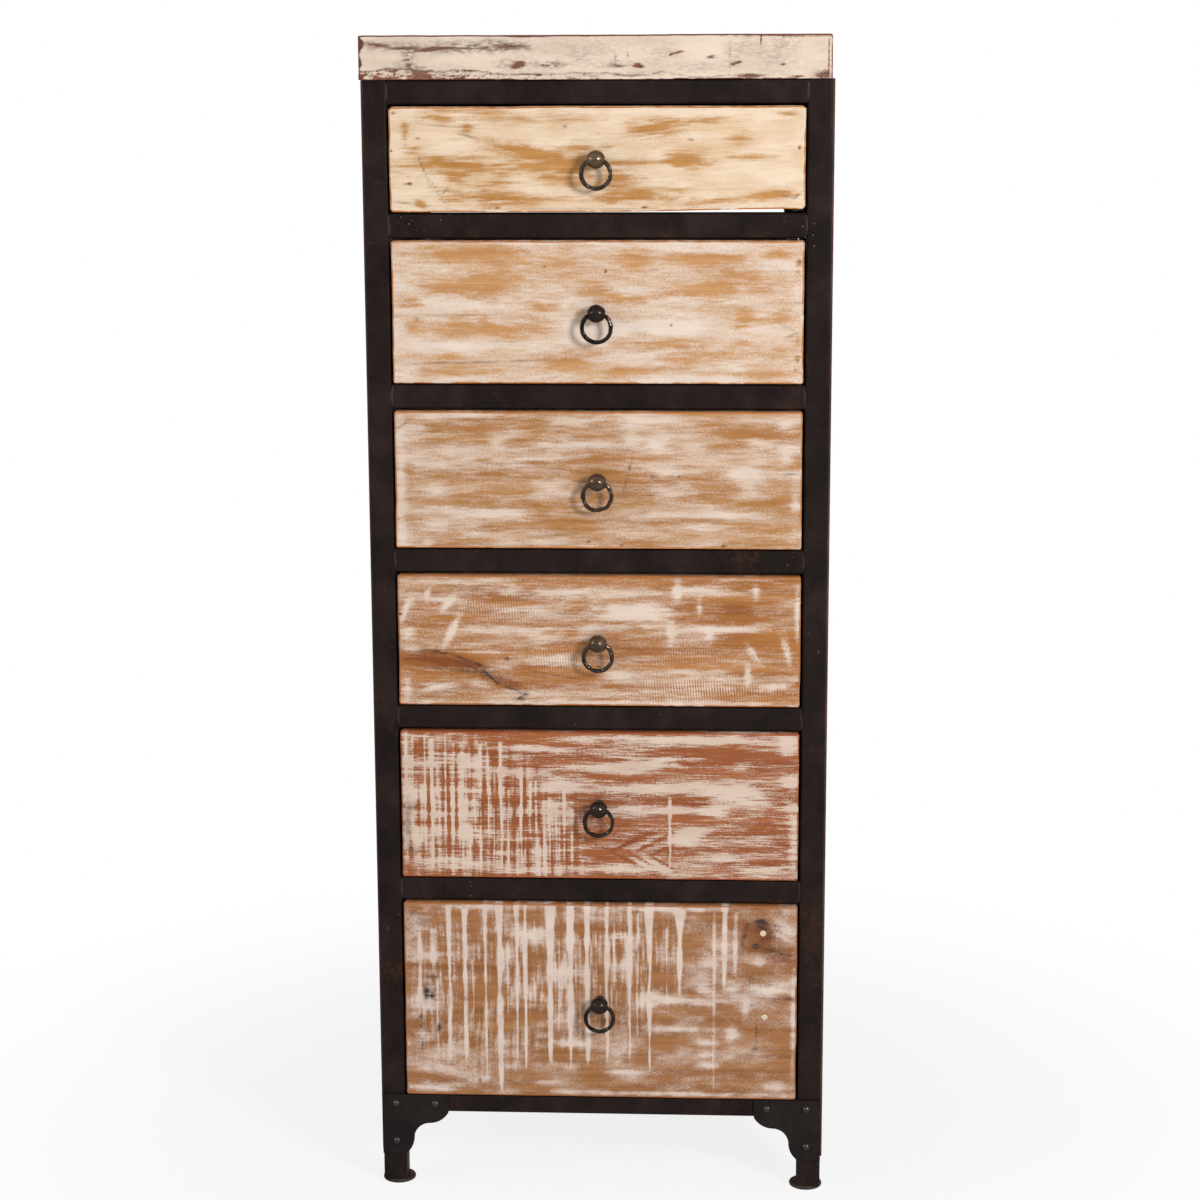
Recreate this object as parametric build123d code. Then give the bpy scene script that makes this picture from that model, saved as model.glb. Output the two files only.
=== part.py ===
from build123d import *
import math
import os

# Tall chest of six reclaimed-wood drawers in a welded iron frame, on four small disc feet.
# Millimetres. +Z is up, the drawers face -Y and the origin is on the floor under the middle.

# Frame of square and flat box section
opening_width = 420.0
frame_depth = 375.0
post_size = 25.0
tube_wall = 2.0
tube_corner = 2.5
rail_height = 25.0
top_rail_height = 24.0
rear_top_rail_height = 36.0
bottom_rail_height = 20.0
leg_clearance = 82.0

# Disc feet
foot_diameter = 35.0
foot_thickness = 4.0
foot_rim_radius = 1.8
foot_inset = 2.5

# Riveted corner gussets of the front, whose outline the side panels repeat
gusset_thickness = 3.0
gusset_reach = 46.0
gusset_low_end = 35.0
ogee_shares = (
    (1.0, 1.0),
    (0.86, 0.845),
    (0.565, 0.745),
    (0.315, 0.65),
    (0.196, 0.404),
    (0.14, 0.17),
    (0.0, 0.0),
)
rivet_head_diameter = 8.6
rivet_head_height = 2.8
rivet_shank_diameter = 5.0
rivet_tail = 2.0
rivet_hole_clearance = 0.1
rivet_outer_inset = 15.0
rivet_reach_share = 0.7
rivet_low_rise = 14.5

# Sheet-iron side panels
panel_thickness = 2.0
panel_setback = 9.0

# Angle runners with a turned-up stop at the back
runner_thickness = 2.5
runner_shelf = 22.0
runner_wall_height = 18.0
runner_stop_height = 12.0
stop_gap = 0.5
slide_clearance = 0.3

# Top slab
slab_thickness = 44.0
slab_side_overhang = 0.5
slab_front_overhang = 4.0
slab_rear_overhang = 1.0
slab_corner_radius = 4.0
slab_arris_radius = 2.5

# Drawers, from the top one down
drawer_1_height = 104.7
drawer_2_height = 144.2
drawer_3_height = 141.6
drawer_4_height = 137.7
drawer_5_height = 158.7
drawer_6_height = 215.2
reveal = 1.6
front_thickness = 20.0
front_proud = 4.0
front_corner_radius = 3.0
front_arris_radius = 2.0
side_thickness = 11.0
side_clearance = 1.0
side_top_drop = 12.0
side_top_radius = 3.0
back_thickness = 11.0
back_top_drop = 1.0
bottom_thickness = 5.0
bottom_rise = 8.0
groove_depth = 5.0
groove_clearance = 0.15

# Ball-and-ring pulls
pull_height_share = 0.5
ball_diameter = 19.2
ball_standoff = 14.5
bore_drop = 1.5
neck_diameter = 8.0
collar_diameter = 13.0
collar_height = 2.0
shank_diameter = 6.0
shank_clearance = 0.2
washer_diameter = 16.0
washer_thickness = 1.5
nut_width = 10.0
nut_thickness = 5.0
nut_clearance = 0.1
shank_end = 2.0
ring_outer_diameter = 33.9
ring_wire_diameter = 4.7
ring_clearance = 0.3
ring_flats_round = 24
ring_flats_across = 8

# One overrun for every through cut
overrun = 5.0

# Heights and places that follow from the sizes above
drawer_heights = (
    drawer_1_height,
    drawer_2_height,
    drawer_3_height,
    drawer_4_height,
    drawer_5_height,
    drawer_6_height,
)
half_opening = opening_width / 2
post_outer = half_opening + post_size
bottom_rail_top = leg_clearance + bottom_rail_height
between_fronts = rail_height + 2 * reveal
front_floors = [
    bottom_rail_top + reveal + sum(drawer_heights[place + 1:]) + between_fronts * (len(drawer_heights) - 1 - place)
    for place in range(len(drawer_heights))
]
top_rail_bottom = front_floors[0] + drawer_1_height + reveal
frame_top = top_rail_bottom + top_rail_height
lowest_shelf_under = front_floors[-1] - slide_clearance - runner_thickness
side_outer = half_opening - runner_thickness - side_clearance
side_inner = side_outer - side_thickness
front_back = front_thickness - front_proud
box_end = frame_depth - runner_thickness - stop_gap
gusset_width = post_size + gusset_reach
gusset_drop = leg_clearance - gusset_low_end

ball_radius = ball_diameter / 2
wire_radius = ring_wire_diameter / 2
ring_radius = (ring_outer_diameter - ring_wire_diameter) / 2
ball_centre = front_proud + ball_standoff

# The stiff ring swings about its bore's axis, and the bore clears the wire at its middle and, with the ring turned
# right up, at its mouths
bore_reach = ring_radius + wire_radius + 2 * ring_clearance
bore_slack = (ring_radius - wire_radius) ** 2 - ball_radius ** 2 + bore_drop ** 2
mouth_reach = 2 * bore_reach - bore_drop
bore_radius = (mouth_reach - math.sqrt(mouth_reach ** 2 - 3 * (bore_reach ** 2 - bore_slack))) / 3
ring_lift = bore_radius - ring_clearance - wire_radius
ring_hang = ring_radius - ring_lift

# The origin lies under the middle of the whole depth, pulls and feet included
foot_rear = frame_depth - post_size / 2 - foot_inset + foot_diameter / 2
rearmost = max(frame_depth + slab_rear_overhang, foot_rear)
depth_middle = (rearmost - ball_centre - ball_radius) / 2


def block(x_from, x_to, y_from, y_to, z_from, z_to):
    """A plain board between two corners."""
    middle = Pos((x_from + x_to) / 2, (y_from + y_to) / 2, (z_from + z_to) / 2)
    return middle * Box(x_to - x_from, y_to - y_from, z_to - z_from)


def tube_section(width, height):
    """Box section with rounded outer corners."""
    inner = Rectangle(width - 2 * tube_wall, height - 2 * tube_wall)
    return RectangleRounded(width, height, tube_corner) - inner


def across_hole(x, y, z, radius, length):
    """A drill of the given length along Y, centred on a point."""
    return Pos(x, y, z) * Rot(X=90) * Cylinder(radius, length)


def rivet_places():
    """Rivets of one gusset: distance in from the post's outer face, and height."""
    rail_middle = leg_clearance + bottom_rail_height / 2
    along_rail = post_size + gusset_reach * rivet_reach_share
    return (
        (rivet_outer_inset, rail_middle),
        (along_rail, rail_middle),
        (rivet_outer_inset, gusset_low_end + rivet_low_rise),
    )


def rivet_drills(side):
    """Clearance drills for the rivets of one side's gusset, through the plate and the tube's front wall."""
    radius = rivet_shank_diameter / 2 + rivet_hole_clearance
    length = 2 * (gusset_thickness + tube_wall)
    drills = [across_hole(side * (post_outer - inward), 0, height, radius, length) for inward, height in rivet_places()]
    return drills


def post(side, y_middle):
    """One upright, standing on its disc foot and carrying the slab."""
    section = tube_section(post_size, post_size)
    upright = extrude(section, amount=frame_top - foot_thickness)
    return Pos(side * (half_opening + post_size / 2), y_middle, foot_thickness) * upright


def front_post(side):
    """A front upright with the holes of its gusset's rivets."""
    return post(side, post_size / 2) - rivet_drills(side)


def cross_rail(y_middle, z_from, height):
    """A rail between two posts, along X."""
    section = tube_section(post_size, height)
    bar = extrude(Plane.YZ * section, amount=opening_width)
    return Pos(-half_opening, y_middle, z_from + height / 2) * bar


def bottom_front_rail():
    """The lowest front rail, drilled for the gussets' rivets."""
    rail = cross_rail(post_size / 2, leg_clearance, bottom_rail_height)
    return rail - rivet_drills(-1) - rivet_drills(1)


def side_rail(side, z_from, height):
    """A rail between a front and a rear post, along Y."""
    section = tube_section(post_size, height)
    length = frame_depth - 2 * post_size
    bar = extrude(Plane.XZ * section, amount=length, dir=(0, 1, 0))
    return Pos(side * (half_opening + post_size / 2), post_size, z_from + height / 2) * bar


def side_rails(side):
    """The top and bottom rails of one side."""
    lower = side_rail(side, leg_clearance, bottom_rail_height)
    upper = side_rail(side, top_rail_bottom, top_rail_height)
    return [lower, upper]


def ogee_arcs(place):
    """Lobe, cove and lobe from the rail down to the leg, as three arcs through places of (across, height)."""
    points = [
        place(across_share * gusset_reach, gusset_low_end + height_share * gusset_drop)
        for across_share, height_share in ogee_shares
    ]
    return [ThreePointArc(*points[start:start + 3]) for start in range(0, len(points) - 1, 2)]


def gusset(side):
    """Riveted plate on the front of a post and the bottom rail."""
    arcs = ogee_arcs(lambda across, height: (side * (half_opening - across), height))
    outer = side * post_outer
    edge = Polyline(
        arcs[-1] @ 1,
        (outer, gusset_low_end),
        (outer, bottom_rail_top),
        (side * (post_outer - gusset_width), bottom_rail_top),
        arcs[0] @ 0,
    )
    outline = make_face(Plane.XZ * (Curve() + arcs + edge))
    plate = extrude(outline, amount=gusset_thickness, dir=(0, -1, 0))
    return plate - rivet_drills(side)


def rivet():
    """Round-head rivet on the Z axis, seated at zero."""
    head_radius = rivet_head_diameter / 2
    shank_radius = rivet_shank_diameter / 2
    shank_length = gusset_thickness + tube_wall + rivet_tail
    cap_radius = (head_radius ** 2 + rivet_head_height ** 2) / (2 * rivet_head_height)
    half_turn = math.asin(head_radius / cap_radius) / 2
    dome_middle = (cap_radius * math.sin(half_turn), rivet_head_height - cap_radius * (1 - math.cos(half_turn)))
    dome = ThreePointArc((head_radius, 0), dome_middle, (0, rivet_head_height))
    stem = Polyline(
        (0, rivet_head_height),
        (0, -shank_length),
        (shank_radius, -shank_length),
        (shank_radius, 0),
        (head_radius, 0),
    )
    profile = make_face(Plane.XZ * (Curve() + [dome, stem]))
    return revolve(profile, axis=Axis.Z)


def gusset_rivets():
    """Three rivets in each front gusset."""
    seats = [
        Pos(side * (post_outer - inward), -gusset_thickness, height) * Rot(X=90)
        for side in (-1, 1)
        for inward, height in rivet_places()
    ]
    return [seat * rivet() for seat in seats]


def foot():
    """Disc foot with a rounded rim, on the floor."""
    disc = Pos(0, 0, foot_thickness / 2) * Cylinder(foot_diameter / 2, foot_thickness)
    return fillet(disc.edges().filter_by(GeomType.CIRCLE), foot_rim_radius)


def feet():
    """A foot under each post, a little inward of the post's middle."""
    x_place = half_opening + post_size / 2 - foot_inset
    y_places = (post_size / 2 + foot_inset, frame_depth - post_size / 2 - foot_inset)
    return [Pos(side * x_place, y_place, 0) * foot() for side in (-1, 1) for y_place in y_places]


def side_panel(side):
    """Sheet on the outside of the posts, its lower edge cut to the gussets' ogee between the legs."""
    front_inner = post_size
    rear_inner = frame_depth - post_size
    front_arcs = ogee_arcs(lambda across, height: (front_inner + across, height))
    rear_arcs = ogee_arcs(lambda across, height: (rear_inner - across, height))
    lower_edge = Line(front_arcs[0] @ 0, rear_arcs[0] @ 0)
    rest = Polyline(
        front_arcs[-1] @ 1,
        (panel_setback, gusset_low_end),
        (panel_setback, frame_top),
        (frame_depth - panel_setback, frame_top),
        (frame_depth - panel_setback, gusset_low_end),
        rear_arcs[-1] @ 1,
    )
    outline = make_face(Plane.YZ * (Curve() + front_arcs + rear_arcs + [lower_edge, rest]))
    sheet = extrude(outline, amount=panel_thickness, dir=(side, 0, 0))
    return Pos(side * post_outer, 0, 0) * sheet


def runner(side, front_floor):
    """Angle that one drawer side slides on, welded to the front rail and the rear post, with a stop at its end."""
    shelf_top = front_floor - slide_clearance
    shelf_under = shelf_top - runner_thickness
    wall_top = shelf_under + runner_wall_height
    wall_inner = half_opening - runner_thickness
    shelf_inner = half_opening - runner_shelf
    section = Polyline(
        (side * half_opening, shelf_under),
        (side * half_opening, wall_top),
        (side * wall_inner, wall_top),
        (side * wall_inner, shelf_top),
        (side * shelf_inner, shelf_top),
        (side * shelf_inner, shelf_under),
        close=True,
    )
    angle = extrude(make_face(Plane.XZ * section), amount=frame_depth - post_size, dir=(0, 1, 0))
    low, high = sorted((side * wall_inner, side * shelf_inner))
    stop = block(low, high, frame_depth - runner_thickness, frame_depth, shelf_top, shelf_top + runner_stop_height)
    return Pos(0, post_size, 0) * angle + stop


def top_slab():
    """Thick plank on the frame, with softened arrises."""
    width = 2 * (post_outer + panel_thickness + slab_side_overhang)
    depth = frame_depth + slab_front_overhang + slab_rear_overhang
    plank = extrude(RectangleRounded(width, depth, slab_corner_radius), amount=slab_thickness)
    faces = plank.faces().sort_by(Axis.Z)
    plank = fillet(faces[0].edges() + faces[-1].edges(), slab_arris_radius)
    return Pos(0, (depth - 2 * slab_front_overhang) / 2, frame_top) * plank


def drawer_front(height, floor):
    """Front board with worn corners, grooved behind for the bottom and drilled for the pull."""
    width = opening_width - 2 * reveal
    middle = floor + height / 2
    board = extrude(Plane.XZ * RectangleRounded(width, height, front_corner_radius), amount=front_thickness)
    face = board.faces().sort_by(Axis.Y)[0]
    board = Pos(0, front_back, middle) * fillet(face.edges(), front_arris_radius)
    groove_from = floor + bottom_rise - groove_clearance
    groove_to = floor + bottom_rise + bottom_thickness + groove_clearance
    groove_half = side_inner + groove_depth
    groove = block(-groove_half, groove_half, front_back - groove_depth, front_back + overrun, groove_from, groove_to)
    hole_length = 2 * (front_thickness + overrun)
    hole = across_hole(0, front_back, pull_height(height, floor), shank_diameter / 2 + shank_clearance, hole_length)
    return board - groove - hole


def drawer_side(side, height, floor):
    """Side board with a rounded top edge and a groove for the bottom."""
    top = floor + height - side_top_drop
    low, high = sorted((side * side_inner, side * side_outer))
    board = block(low, high, front_back, box_end, floor, top)
    top_edges = board.faces().sort_by(Axis.Z)[-1].edges().filter_by(Axis.Y)
    board = fillet(top_edges, side_top_radius)
    groove_from = floor + bottom_rise - groove_clearance
    groove_to = floor + bottom_rise + bottom_thickness + groove_clearance
    low, high = sorted((side * (side_inner - overrun), side * (side_inner + groove_depth)))
    return board - block(low, high, front_back - overrun, box_end + overrun, groove_from, groove_to)


def drawer_back(height, floor):
    """Back board between the sides, standing on the bottom."""
    board_floor = floor + bottom_rise + bottom_thickness
    top = floor + height - side_top_drop - back_top_drop
    board = block(-side_inner, side_inner, box_end - back_thickness, box_end, board_floor, top)
    top_edges = board.faces().sort_by(Axis.Z)[-1].edges().filter_by(Axis.X)
    return fillet(top_edges, side_top_radius)


def drawer_bottom(floor):
    """Thin bottom that slides into the grooves of the sides and the front from behind."""
    half_width = side_inner + groove_depth - groove_clearance
    y_from = front_back - groove_depth + groove_clearance
    z_from = floor + bottom_rise
    return block(-half_width, half_width, y_from, box_end, z_from, z_from + bottom_thickness)


def pull_height(height, floor):
    """Height of a drawer's pull above the floor of the room."""
    return floor + height * pull_height_share


def pull_stud(height, floor):
    """Ball, neck, collar and shank in one turning, with its washer and nut behind the front."""
    shank_radius = shank_diameter / 2
    neck_radius = neck_diameter / 2
    collar_radius = collar_diameter / 2
    shank_length = front_thickness + washer_thickness + nut_thickness + shank_end
    neck_top = ball_standoff - math.sqrt(ball_radius ** 2 - neck_radius ** 2)
    ball_top = ball_standoff + ball_radius
    ball = ThreePointArc((neck_radius, neck_top), (ball_radius, ball_standoff), (0, ball_top))
    stem = Polyline(
        (0, ball_top),
        (0, -shank_length),
        (shank_radius, -shank_length),
        (shank_radius, 0),
        (collar_radius, 0),
        (neck_radius, collar_height),
        (neck_radius, neck_top),
    )
    turning = revolve(make_face(Plane.XZ * (Curve() + [ball, stem])), axis=Axis.Z)
    seat = Pos(0, -front_proud, pull_height(height, floor)) * Rot(X=90)
    bore = Pos(0, -ball_centre, pull_height(height, floor) - bore_drop) * Rot(Y=90)
    stud = seat * turning - bore * Cylinder(bore_radius, ball_diameter + overrun)
    opening = Circle(shank_radius + nut_clearance)
    washer = extrude(Circle(washer_diameter / 2) - opening, amount=washer_thickness)
    nut_corner = nut_width / 2 / math.cos(math.pi / 6)
    nut = extrude(RegularPolygon(nut_corner, 6) - opening, amount=nut_thickness)
    washer_seat = Pos(0, 0, -front_thickness - washer_thickness)
    nut_seat = Pos(0, 0, -front_thickness - washer_thickness - nut_thickness)
    return [stud, seat * washer_seat * washer, seat * nut_seat * nut]


def pull_ring(height, floor):
    """Hammered ring: flats round the wire and round the loop, hanging in the ball's bore."""
    corners = []
    for turn in range(ring_flats_round):
        around = 2 * math.pi * turn / ring_flats_round
        section = []
        for step in range(ring_flats_across):
            across = 2 * math.pi * (step + 1 / 2) / ring_flats_across
            reach = ring_radius + wire_radius * math.cos(across)
            section.append((reach * math.cos(around), wire_radius * math.sin(across), reach * math.sin(around)))
        corners.append(section)
    flats = []
    for turn in range(ring_flats_round):
        here = corners[turn - 1]
        there = corners[turn]
        for step in range(ring_flats_across):
            flats.append(Face(Wire.make_polygon([here[step - 1], here[step], there[step], there[step - 1]])))
    loop = Solid(Shell(flats))
    return Pos(0, -ball_centre, pull_height(height, floor) - bore_drop - ring_hang) * loop


def write(name, shape):
    """Moves a node, one solid or a list of them, to the part's origin and writes its file."""
    solids = []
    for piece in shape if isinstance(shape, list) else [shape]:
        solids.extend(piece.solids())
    node = Pos(0, -depth_middle, 0) * (solids[0] if len(solids) == 1 else Compound(solids))
    export_step(node, f"parts/{name}.step")
    print(name, len(solids), [round(length, 2) for length in node.bounding_box().size])


def write_frame():
    """Writes the fixed pieces."""
    rear_middle = frame_depth - post_size / 2
    write("top_slab", top_slab())
    write("front_left_post", front_post(-1))
    write("front_right_post", front_post(1))
    write("rear_left_post", post(-1, rear_middle))
    write("rear_right_post", post(1, rear_middle))
    write("front_top_rail", cross_rail(post_size / 2, top_rail_bottom, top_rail_height))
    for place, floor in enumerate(front_floors[:-1], start=1):
        write(f"front_rail_{place}", cross_rail(post_size / 2, floor - reveal - rail_height, rail_height))
    write("front_bottom_rail", bottom_front_rail())
    write("rear_top_rail", cross_rail(rear_middle, frame_top - rear_top_rail_height, rear_top_rail_height))
    write("rear_bottom_rail", cross_rail(rear_middle, leg_clearance, lowest_shelf_under - leg_clearance))
    for name, side in (("left", -1), ("right", 1)):
        write(f"{name}_side_rails", side_rails(side))
        write(f"{name}_side_panel", side_panel(side))
        write(f"{name}_gusset", gusset(side))
        write(f"{name}_runners", [runner(side, floor) for floor in front_floors])
    write("feet", feet())
    write("gusset_rivets", gusset_rivets())


def write_drawers():
    """Writes each drawer and its pull."""
    for place, (height, floor) in enumerate(zip(drawer_heights, front_floors), start=1):
        write(f"drawer_{place}_front", drawer_front(height, floor))
        write(f"drawer_{place}_sides", [drawer_side(side, height, floor) for side in (-1, 1)])
        write(f"drawer_{place}_back", drawer_back(height, floor))
        write(f"drawer_{place}_bottom", drawer_bottom(floor))
        write(f"drawer_{place}_stud", pull_stud(height, floor))
        write(f"drawer_{place}_ring", pull_ring(height, floor))


os.makedirs("parts", exist_ok=True)
write_frame()
write_drawers()
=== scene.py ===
"""Looks of a tall chest of six limewashed drawers in a dark iron frame."""
import logging
import math
from dataclasses import dataclass, field
from enum import Enum
from typing import TypeVar, Union

import bpy
import numpy as np
from mathutils import Matrix, Vector


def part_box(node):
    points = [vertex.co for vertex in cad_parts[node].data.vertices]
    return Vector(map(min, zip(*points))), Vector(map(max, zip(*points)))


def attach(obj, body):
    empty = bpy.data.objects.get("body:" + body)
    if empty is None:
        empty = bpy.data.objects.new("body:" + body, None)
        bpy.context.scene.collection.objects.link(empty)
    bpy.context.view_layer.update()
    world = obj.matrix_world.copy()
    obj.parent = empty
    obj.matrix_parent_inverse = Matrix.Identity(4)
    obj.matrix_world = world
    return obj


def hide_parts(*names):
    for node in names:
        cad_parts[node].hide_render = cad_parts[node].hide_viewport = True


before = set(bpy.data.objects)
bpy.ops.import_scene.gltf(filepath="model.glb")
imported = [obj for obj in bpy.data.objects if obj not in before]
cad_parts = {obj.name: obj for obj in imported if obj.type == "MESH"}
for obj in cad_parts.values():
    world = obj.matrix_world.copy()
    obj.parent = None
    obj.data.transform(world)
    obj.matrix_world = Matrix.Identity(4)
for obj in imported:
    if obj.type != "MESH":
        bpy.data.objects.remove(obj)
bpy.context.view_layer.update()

LOG = logging.getLogger("chest")
MM = 0.001
Array = np.ndarray
Colour = tuple[float, float, float, float]
Triple = tuple[float, float, float]
Pair = tuple[float, float]
Socket = bpy.types.NodeSocket
Value = Union[Socket, float]
Tint = Union[Socket, Colour]
Mark = TypeVar("Mark")
WHITE: Colour = (1.0, 1.0, 1.0, 1.0)


def tint(red: int, green: int, blue: int) -> Colour:
    """A colour as it shows on a screen, turned into the light that a shader works in.

    Args:
        red: Red from 0 to 255.
        green: Green from 0 to 255.
        blue: Blue from 0 to 255.

    Returns:
        The linear colour with full alpha.
    """
    shares = [channel / 255 for channel in (red, green, blue)]
    light = [share / 12.92 if share <= 0.04045 else ((share + 0.055) / 1.055) ** 2.4 for share in shares]
    return (light[0], light[1], light[2], 1.0)


def ease(low: float, high: float, value: Array) -> Array:
    """A smooth step.

    Args:
        low: Where the step starts.
        high: Where it ends, which may be below low.
        value: Places to read it at.

    Returns:
        0 before low, 1 after high, and a smooth rise between.
    """
    share = np.clip((value - low) / (high - low), 0, 1)
    return share * share * (3 - 2 * share)


class Cloud:
    """Seeded smooth noise on a plane."""

    table_size: tuple[int, int] = (251, 257)
    layer_shift: Pair = (17.3, 41.7)
    layer_step: float = 2.03
    layer_fade: float = 0.5
    swing: float = 1.4

    def __init__(self, seed: int) -> None:
        """Draws the table of values.

        Args:
            seed: The same seed always gives the same noise.
        """
        self.table = np.random.default_rng(seed).random(self.table_size)

    def plain(self, across: Array, up: Array) -> Array:
        """One layer of noise.

        Args:
            across: Places in cells.
            up: Places in cells.

        Returns:
            Values from 0 to 1.
        """
        rows, columns = self.table.shape
        column = np.floor(across).astype(int)
        row = np.floor(up).astype(int)
        right = ease(0, 1, across - column)
        above = ease(0, 1, up - row)
        near, far = column % columns, (column + 1) % columns
        low, high = row % rows, (row + 1) % rows
        lower = self.table[low, near] * (1 - right) + self.table[low, far] * right
        upper = self.table[high, near] * (1 - right) + self.table[high, far] * right
        return lower * (1 - above) + upper * above

    def layered(self, across: Array, up: Array, layers: int = 4) -> Array:
        """Several layers of noise, each half as large and half as strong as the one before.

        Args:
            across: Places in cells of the largest layer.
            up: Places in cells of the largest layer.
            layers: How many layers.

        Returns:
            Values from about 0 to 1, around a half.
        """
        total = np.zeros(np.broadcast(across, up).shape)
        weight, reach, size = 0.0, 1.0, 1.0
        aside, above = self.layer_shift
        for layer in range(layers):
            total += size * self.plain(across * reach + aside * layer, up * reach + above * layer)
            weight += size
            reach *= self.layer_step
            size *= self.layer_fade
        return 0.5 + (total / weight - 0.5) * self.swing


class NodeTree:
    """A tree of shader nodes, with short calls for what materials and the world share."""

    def __init__(self, tree: bpy.types.NodeTree) -> None:
        """Takes over a tree and empties it.

        Args:
            tree: The tree of a material or of a world.
        """
        self.nodes, self.links = tree.nodes, tree.links
        self.nodes.clear()

    def feed(self, socket: Socket, value: Union[Value, Tint, Triple]) -> None:
        """Links a socket, or sets its own value.

        Args:
            socket: The input.
            value: Another node's output, a number, a vector or a colour.
        """
        if isinstance(value, bpy.types.NodeSocket):
            self.links.new(value, socket)
        else:
            socket.default_value = value

    def fill(self, node: bpy.types.Node, **inputs: Union[Value, Tint, Triple]) -> None:
        """Feeds a node's inputs, named with underscores for spaces."""
        for name, value in inputs.items():
            self.feed(node.inputs[name.replace("_", " ")], value)

    def add(self, kind: str, **inputs: Union[Value, Tint, Triple]) -> bpy.types.Node:
        """A new node.

        Args:
            kind: Blender's name for it, without the start that all shader nodes share.
            inputs: What to feed it, as for fill.

        Returns:
            The node.
        """
        node = self.nodes.new("ShaderNode" + kind)
        self.fill(node, **inputs)
        return node

    def math(self, operation: str, first: Value, second: Value) -> Socket:
        """One sum on two values.

        Args:
            operation: The name that Blender gives it.
            first: The first value.
            second: The second value.

        Returns:
            The result.
        """
        node = self.add("Math")
        node.operation = operation
        self.feed(node.inputs[0], first)
        self.feed(node.inputs[1], second)
        return node.outputs[0]

    def both(self, share: Socket, first: bpy.types.Node, second: bpy.types.Node) -> Socket:
        """A mix of two shaders.

        Args:
            share: How much of the second one.
            first: The first shader's node.
            second: The second shader's node.

        Returns:
            The mixed shader.
        """
        node = self.add("MixShader")
        for socket, value in zip(node.inputs, (share, first.outputs[0], second.outputs[0])):
            self.feed(socket, value)
        return node.outputs[0]


class Shader(NodeTree):
    """A material's node tree, with short calls for the nodes that the finishes use."""

    wave_unit: float = 2 * math.pi / 20

    def __init__(self, name: str) -> None:
        """Starts a material with one surface shader.

        Args:
            name: The material's name.
        """
        self.material = bpy.data.materials.new(name)
        self.material.use_nodes = True
        super().__init__(self.material.node_tree)
        self.surface = self.add("BsdfPrincipled")
        self.output = self.add("OutputMaterial", Surface=self.surface.outputs[0])
        self.place = self.add("TexCoord").outputs["Object"]

    def painted(self, name: str) -> Socket:
        """The value that a mesh carries under a name."""
        node = self.add("Attribute")
        node.attribute_name = name
        return node.outputs["Fac"]

    def stretched(self, scales: Triple, turn: Triple = (0.0, 0.0, 0.0)) -> Socket:
        """Object coordinates, scaled for each axis.

        Args:
            scales: Cells in a metre along X, Y and Z.
            turn: A turn in degrees about each axis.

        Returns:
            The vector output.
        """
        angles = tuple(math.radians(angle) for angle in turn)
        return self.add("Mapping", Vector=self.place, Scale=scales, Rotation=angles).outputs[0]

    def noise(self, scales: Triple, detail: float = 4.0, rough: float = 0.5, swirl: float = 0.0) -> Socket:
        """Noise with its own size along each axis.

        Args:
            scales: Cells in a metre along X, Y and Z.
            detail: Layers of finer noise.
            rough: Strength of the finer layers.
            swirl: How far the noise bends itself.

        Returns:
            A value around a half.
        """
        node = self.add("TexNoise", Vector=self.stretched(scales), Scale=1.0)
        self.fill(node, Detail=detail, Roughness=rough, Distortion=swirl)
        return node.outputs[0]

    def cells(self, scales: Triple) -> Socket:
        """Distance to the nearest of many scattered points, in cells.

        Args:
            scales: Cells in a metre along X, Y and Z.

        Returns:
            The distance.
        """
        return self.add("TexVoronoi", Vector=self.stretched(scales), Scale=1.0).outputs["Distance"]

    def kerfs(self, pitch: float, lean: float, bend: float) -> Socket:
        """Rows of saw marks across a board's face.

        Args:
            pitch: From one mark to the next, in metres.
            lean: How far the marks lean from upright, in degrees.
            bend: How unevenly they run.

        Returns:
            A wave from 0 to 1.
        """
        leaning = self.stretched((1.0, 1.0, 1.0), (0.0, lean, 0.0))
        node = self.add("TexWave", Vector=leaning, Scale=self.wave_unit / pitch)
        self.fill(node, Distortion=bend, Detail=2.0, Detail_Scale=0.3)
        return node.outputs["Fac"]

    def around(self, value: Value, spread: float) -> Socket:
        """A value around a half, moved to lie around zero.

        Args:
            value: The value.
            spread: How much its swing counts.

        Returns:
            The moved value.
        """
        return self.math("MULTIPLY", self.math("SUBTRACT", value, 0.5), spread)

    def band(self, value: Value, low: float, high: float, start: float = 0.0, end: float = 1.0) -> Socket:
        """A smooth step on a value.

        Args:
            value: The value.
            low: Where the step starts.
            high: Where it ends.
            start: The result before it.
            end: The result after it.

        Returns:
            The stepped value.
        """
        node = self.add("MapRange", Value=value, From_Min=low, From_Max=high, To_Min=start, To_Max=end)
        node.interpolation_type = "SMOOTHSTEP"
        return node.outputs[0]

    def blend(self, share: Value, first: Tint, second: Tint) -> Socket:
        """A mix of two colours.

        Args:
            share: How much of the second one.
            first: The first colour.
            second: The second colour.

        Returns:
            The mixed colour.
        """
        node = self.add("Mix")
        node.data_type = "RGBA"
        self.feed(node.inputs[0], share)
        self.feed(node.inputs[6], first)
        self.feed(node.inputs[7], second)
        return node.outputs[2]

    def relief(self, height: Socket, depth: float, strength: float) -> None:
        """Gives the surface a fine relief.

        Args:
            height: Height from 0 to 1.
            depth: What a height of 1 stands for, in metres.
            strength: How much of it shows.
        """
        node = self.add("Bump", Strength=strength, Distance=depth, Height=height)
        self.fill(self.surface, Normal=node.outputs[0])


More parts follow.
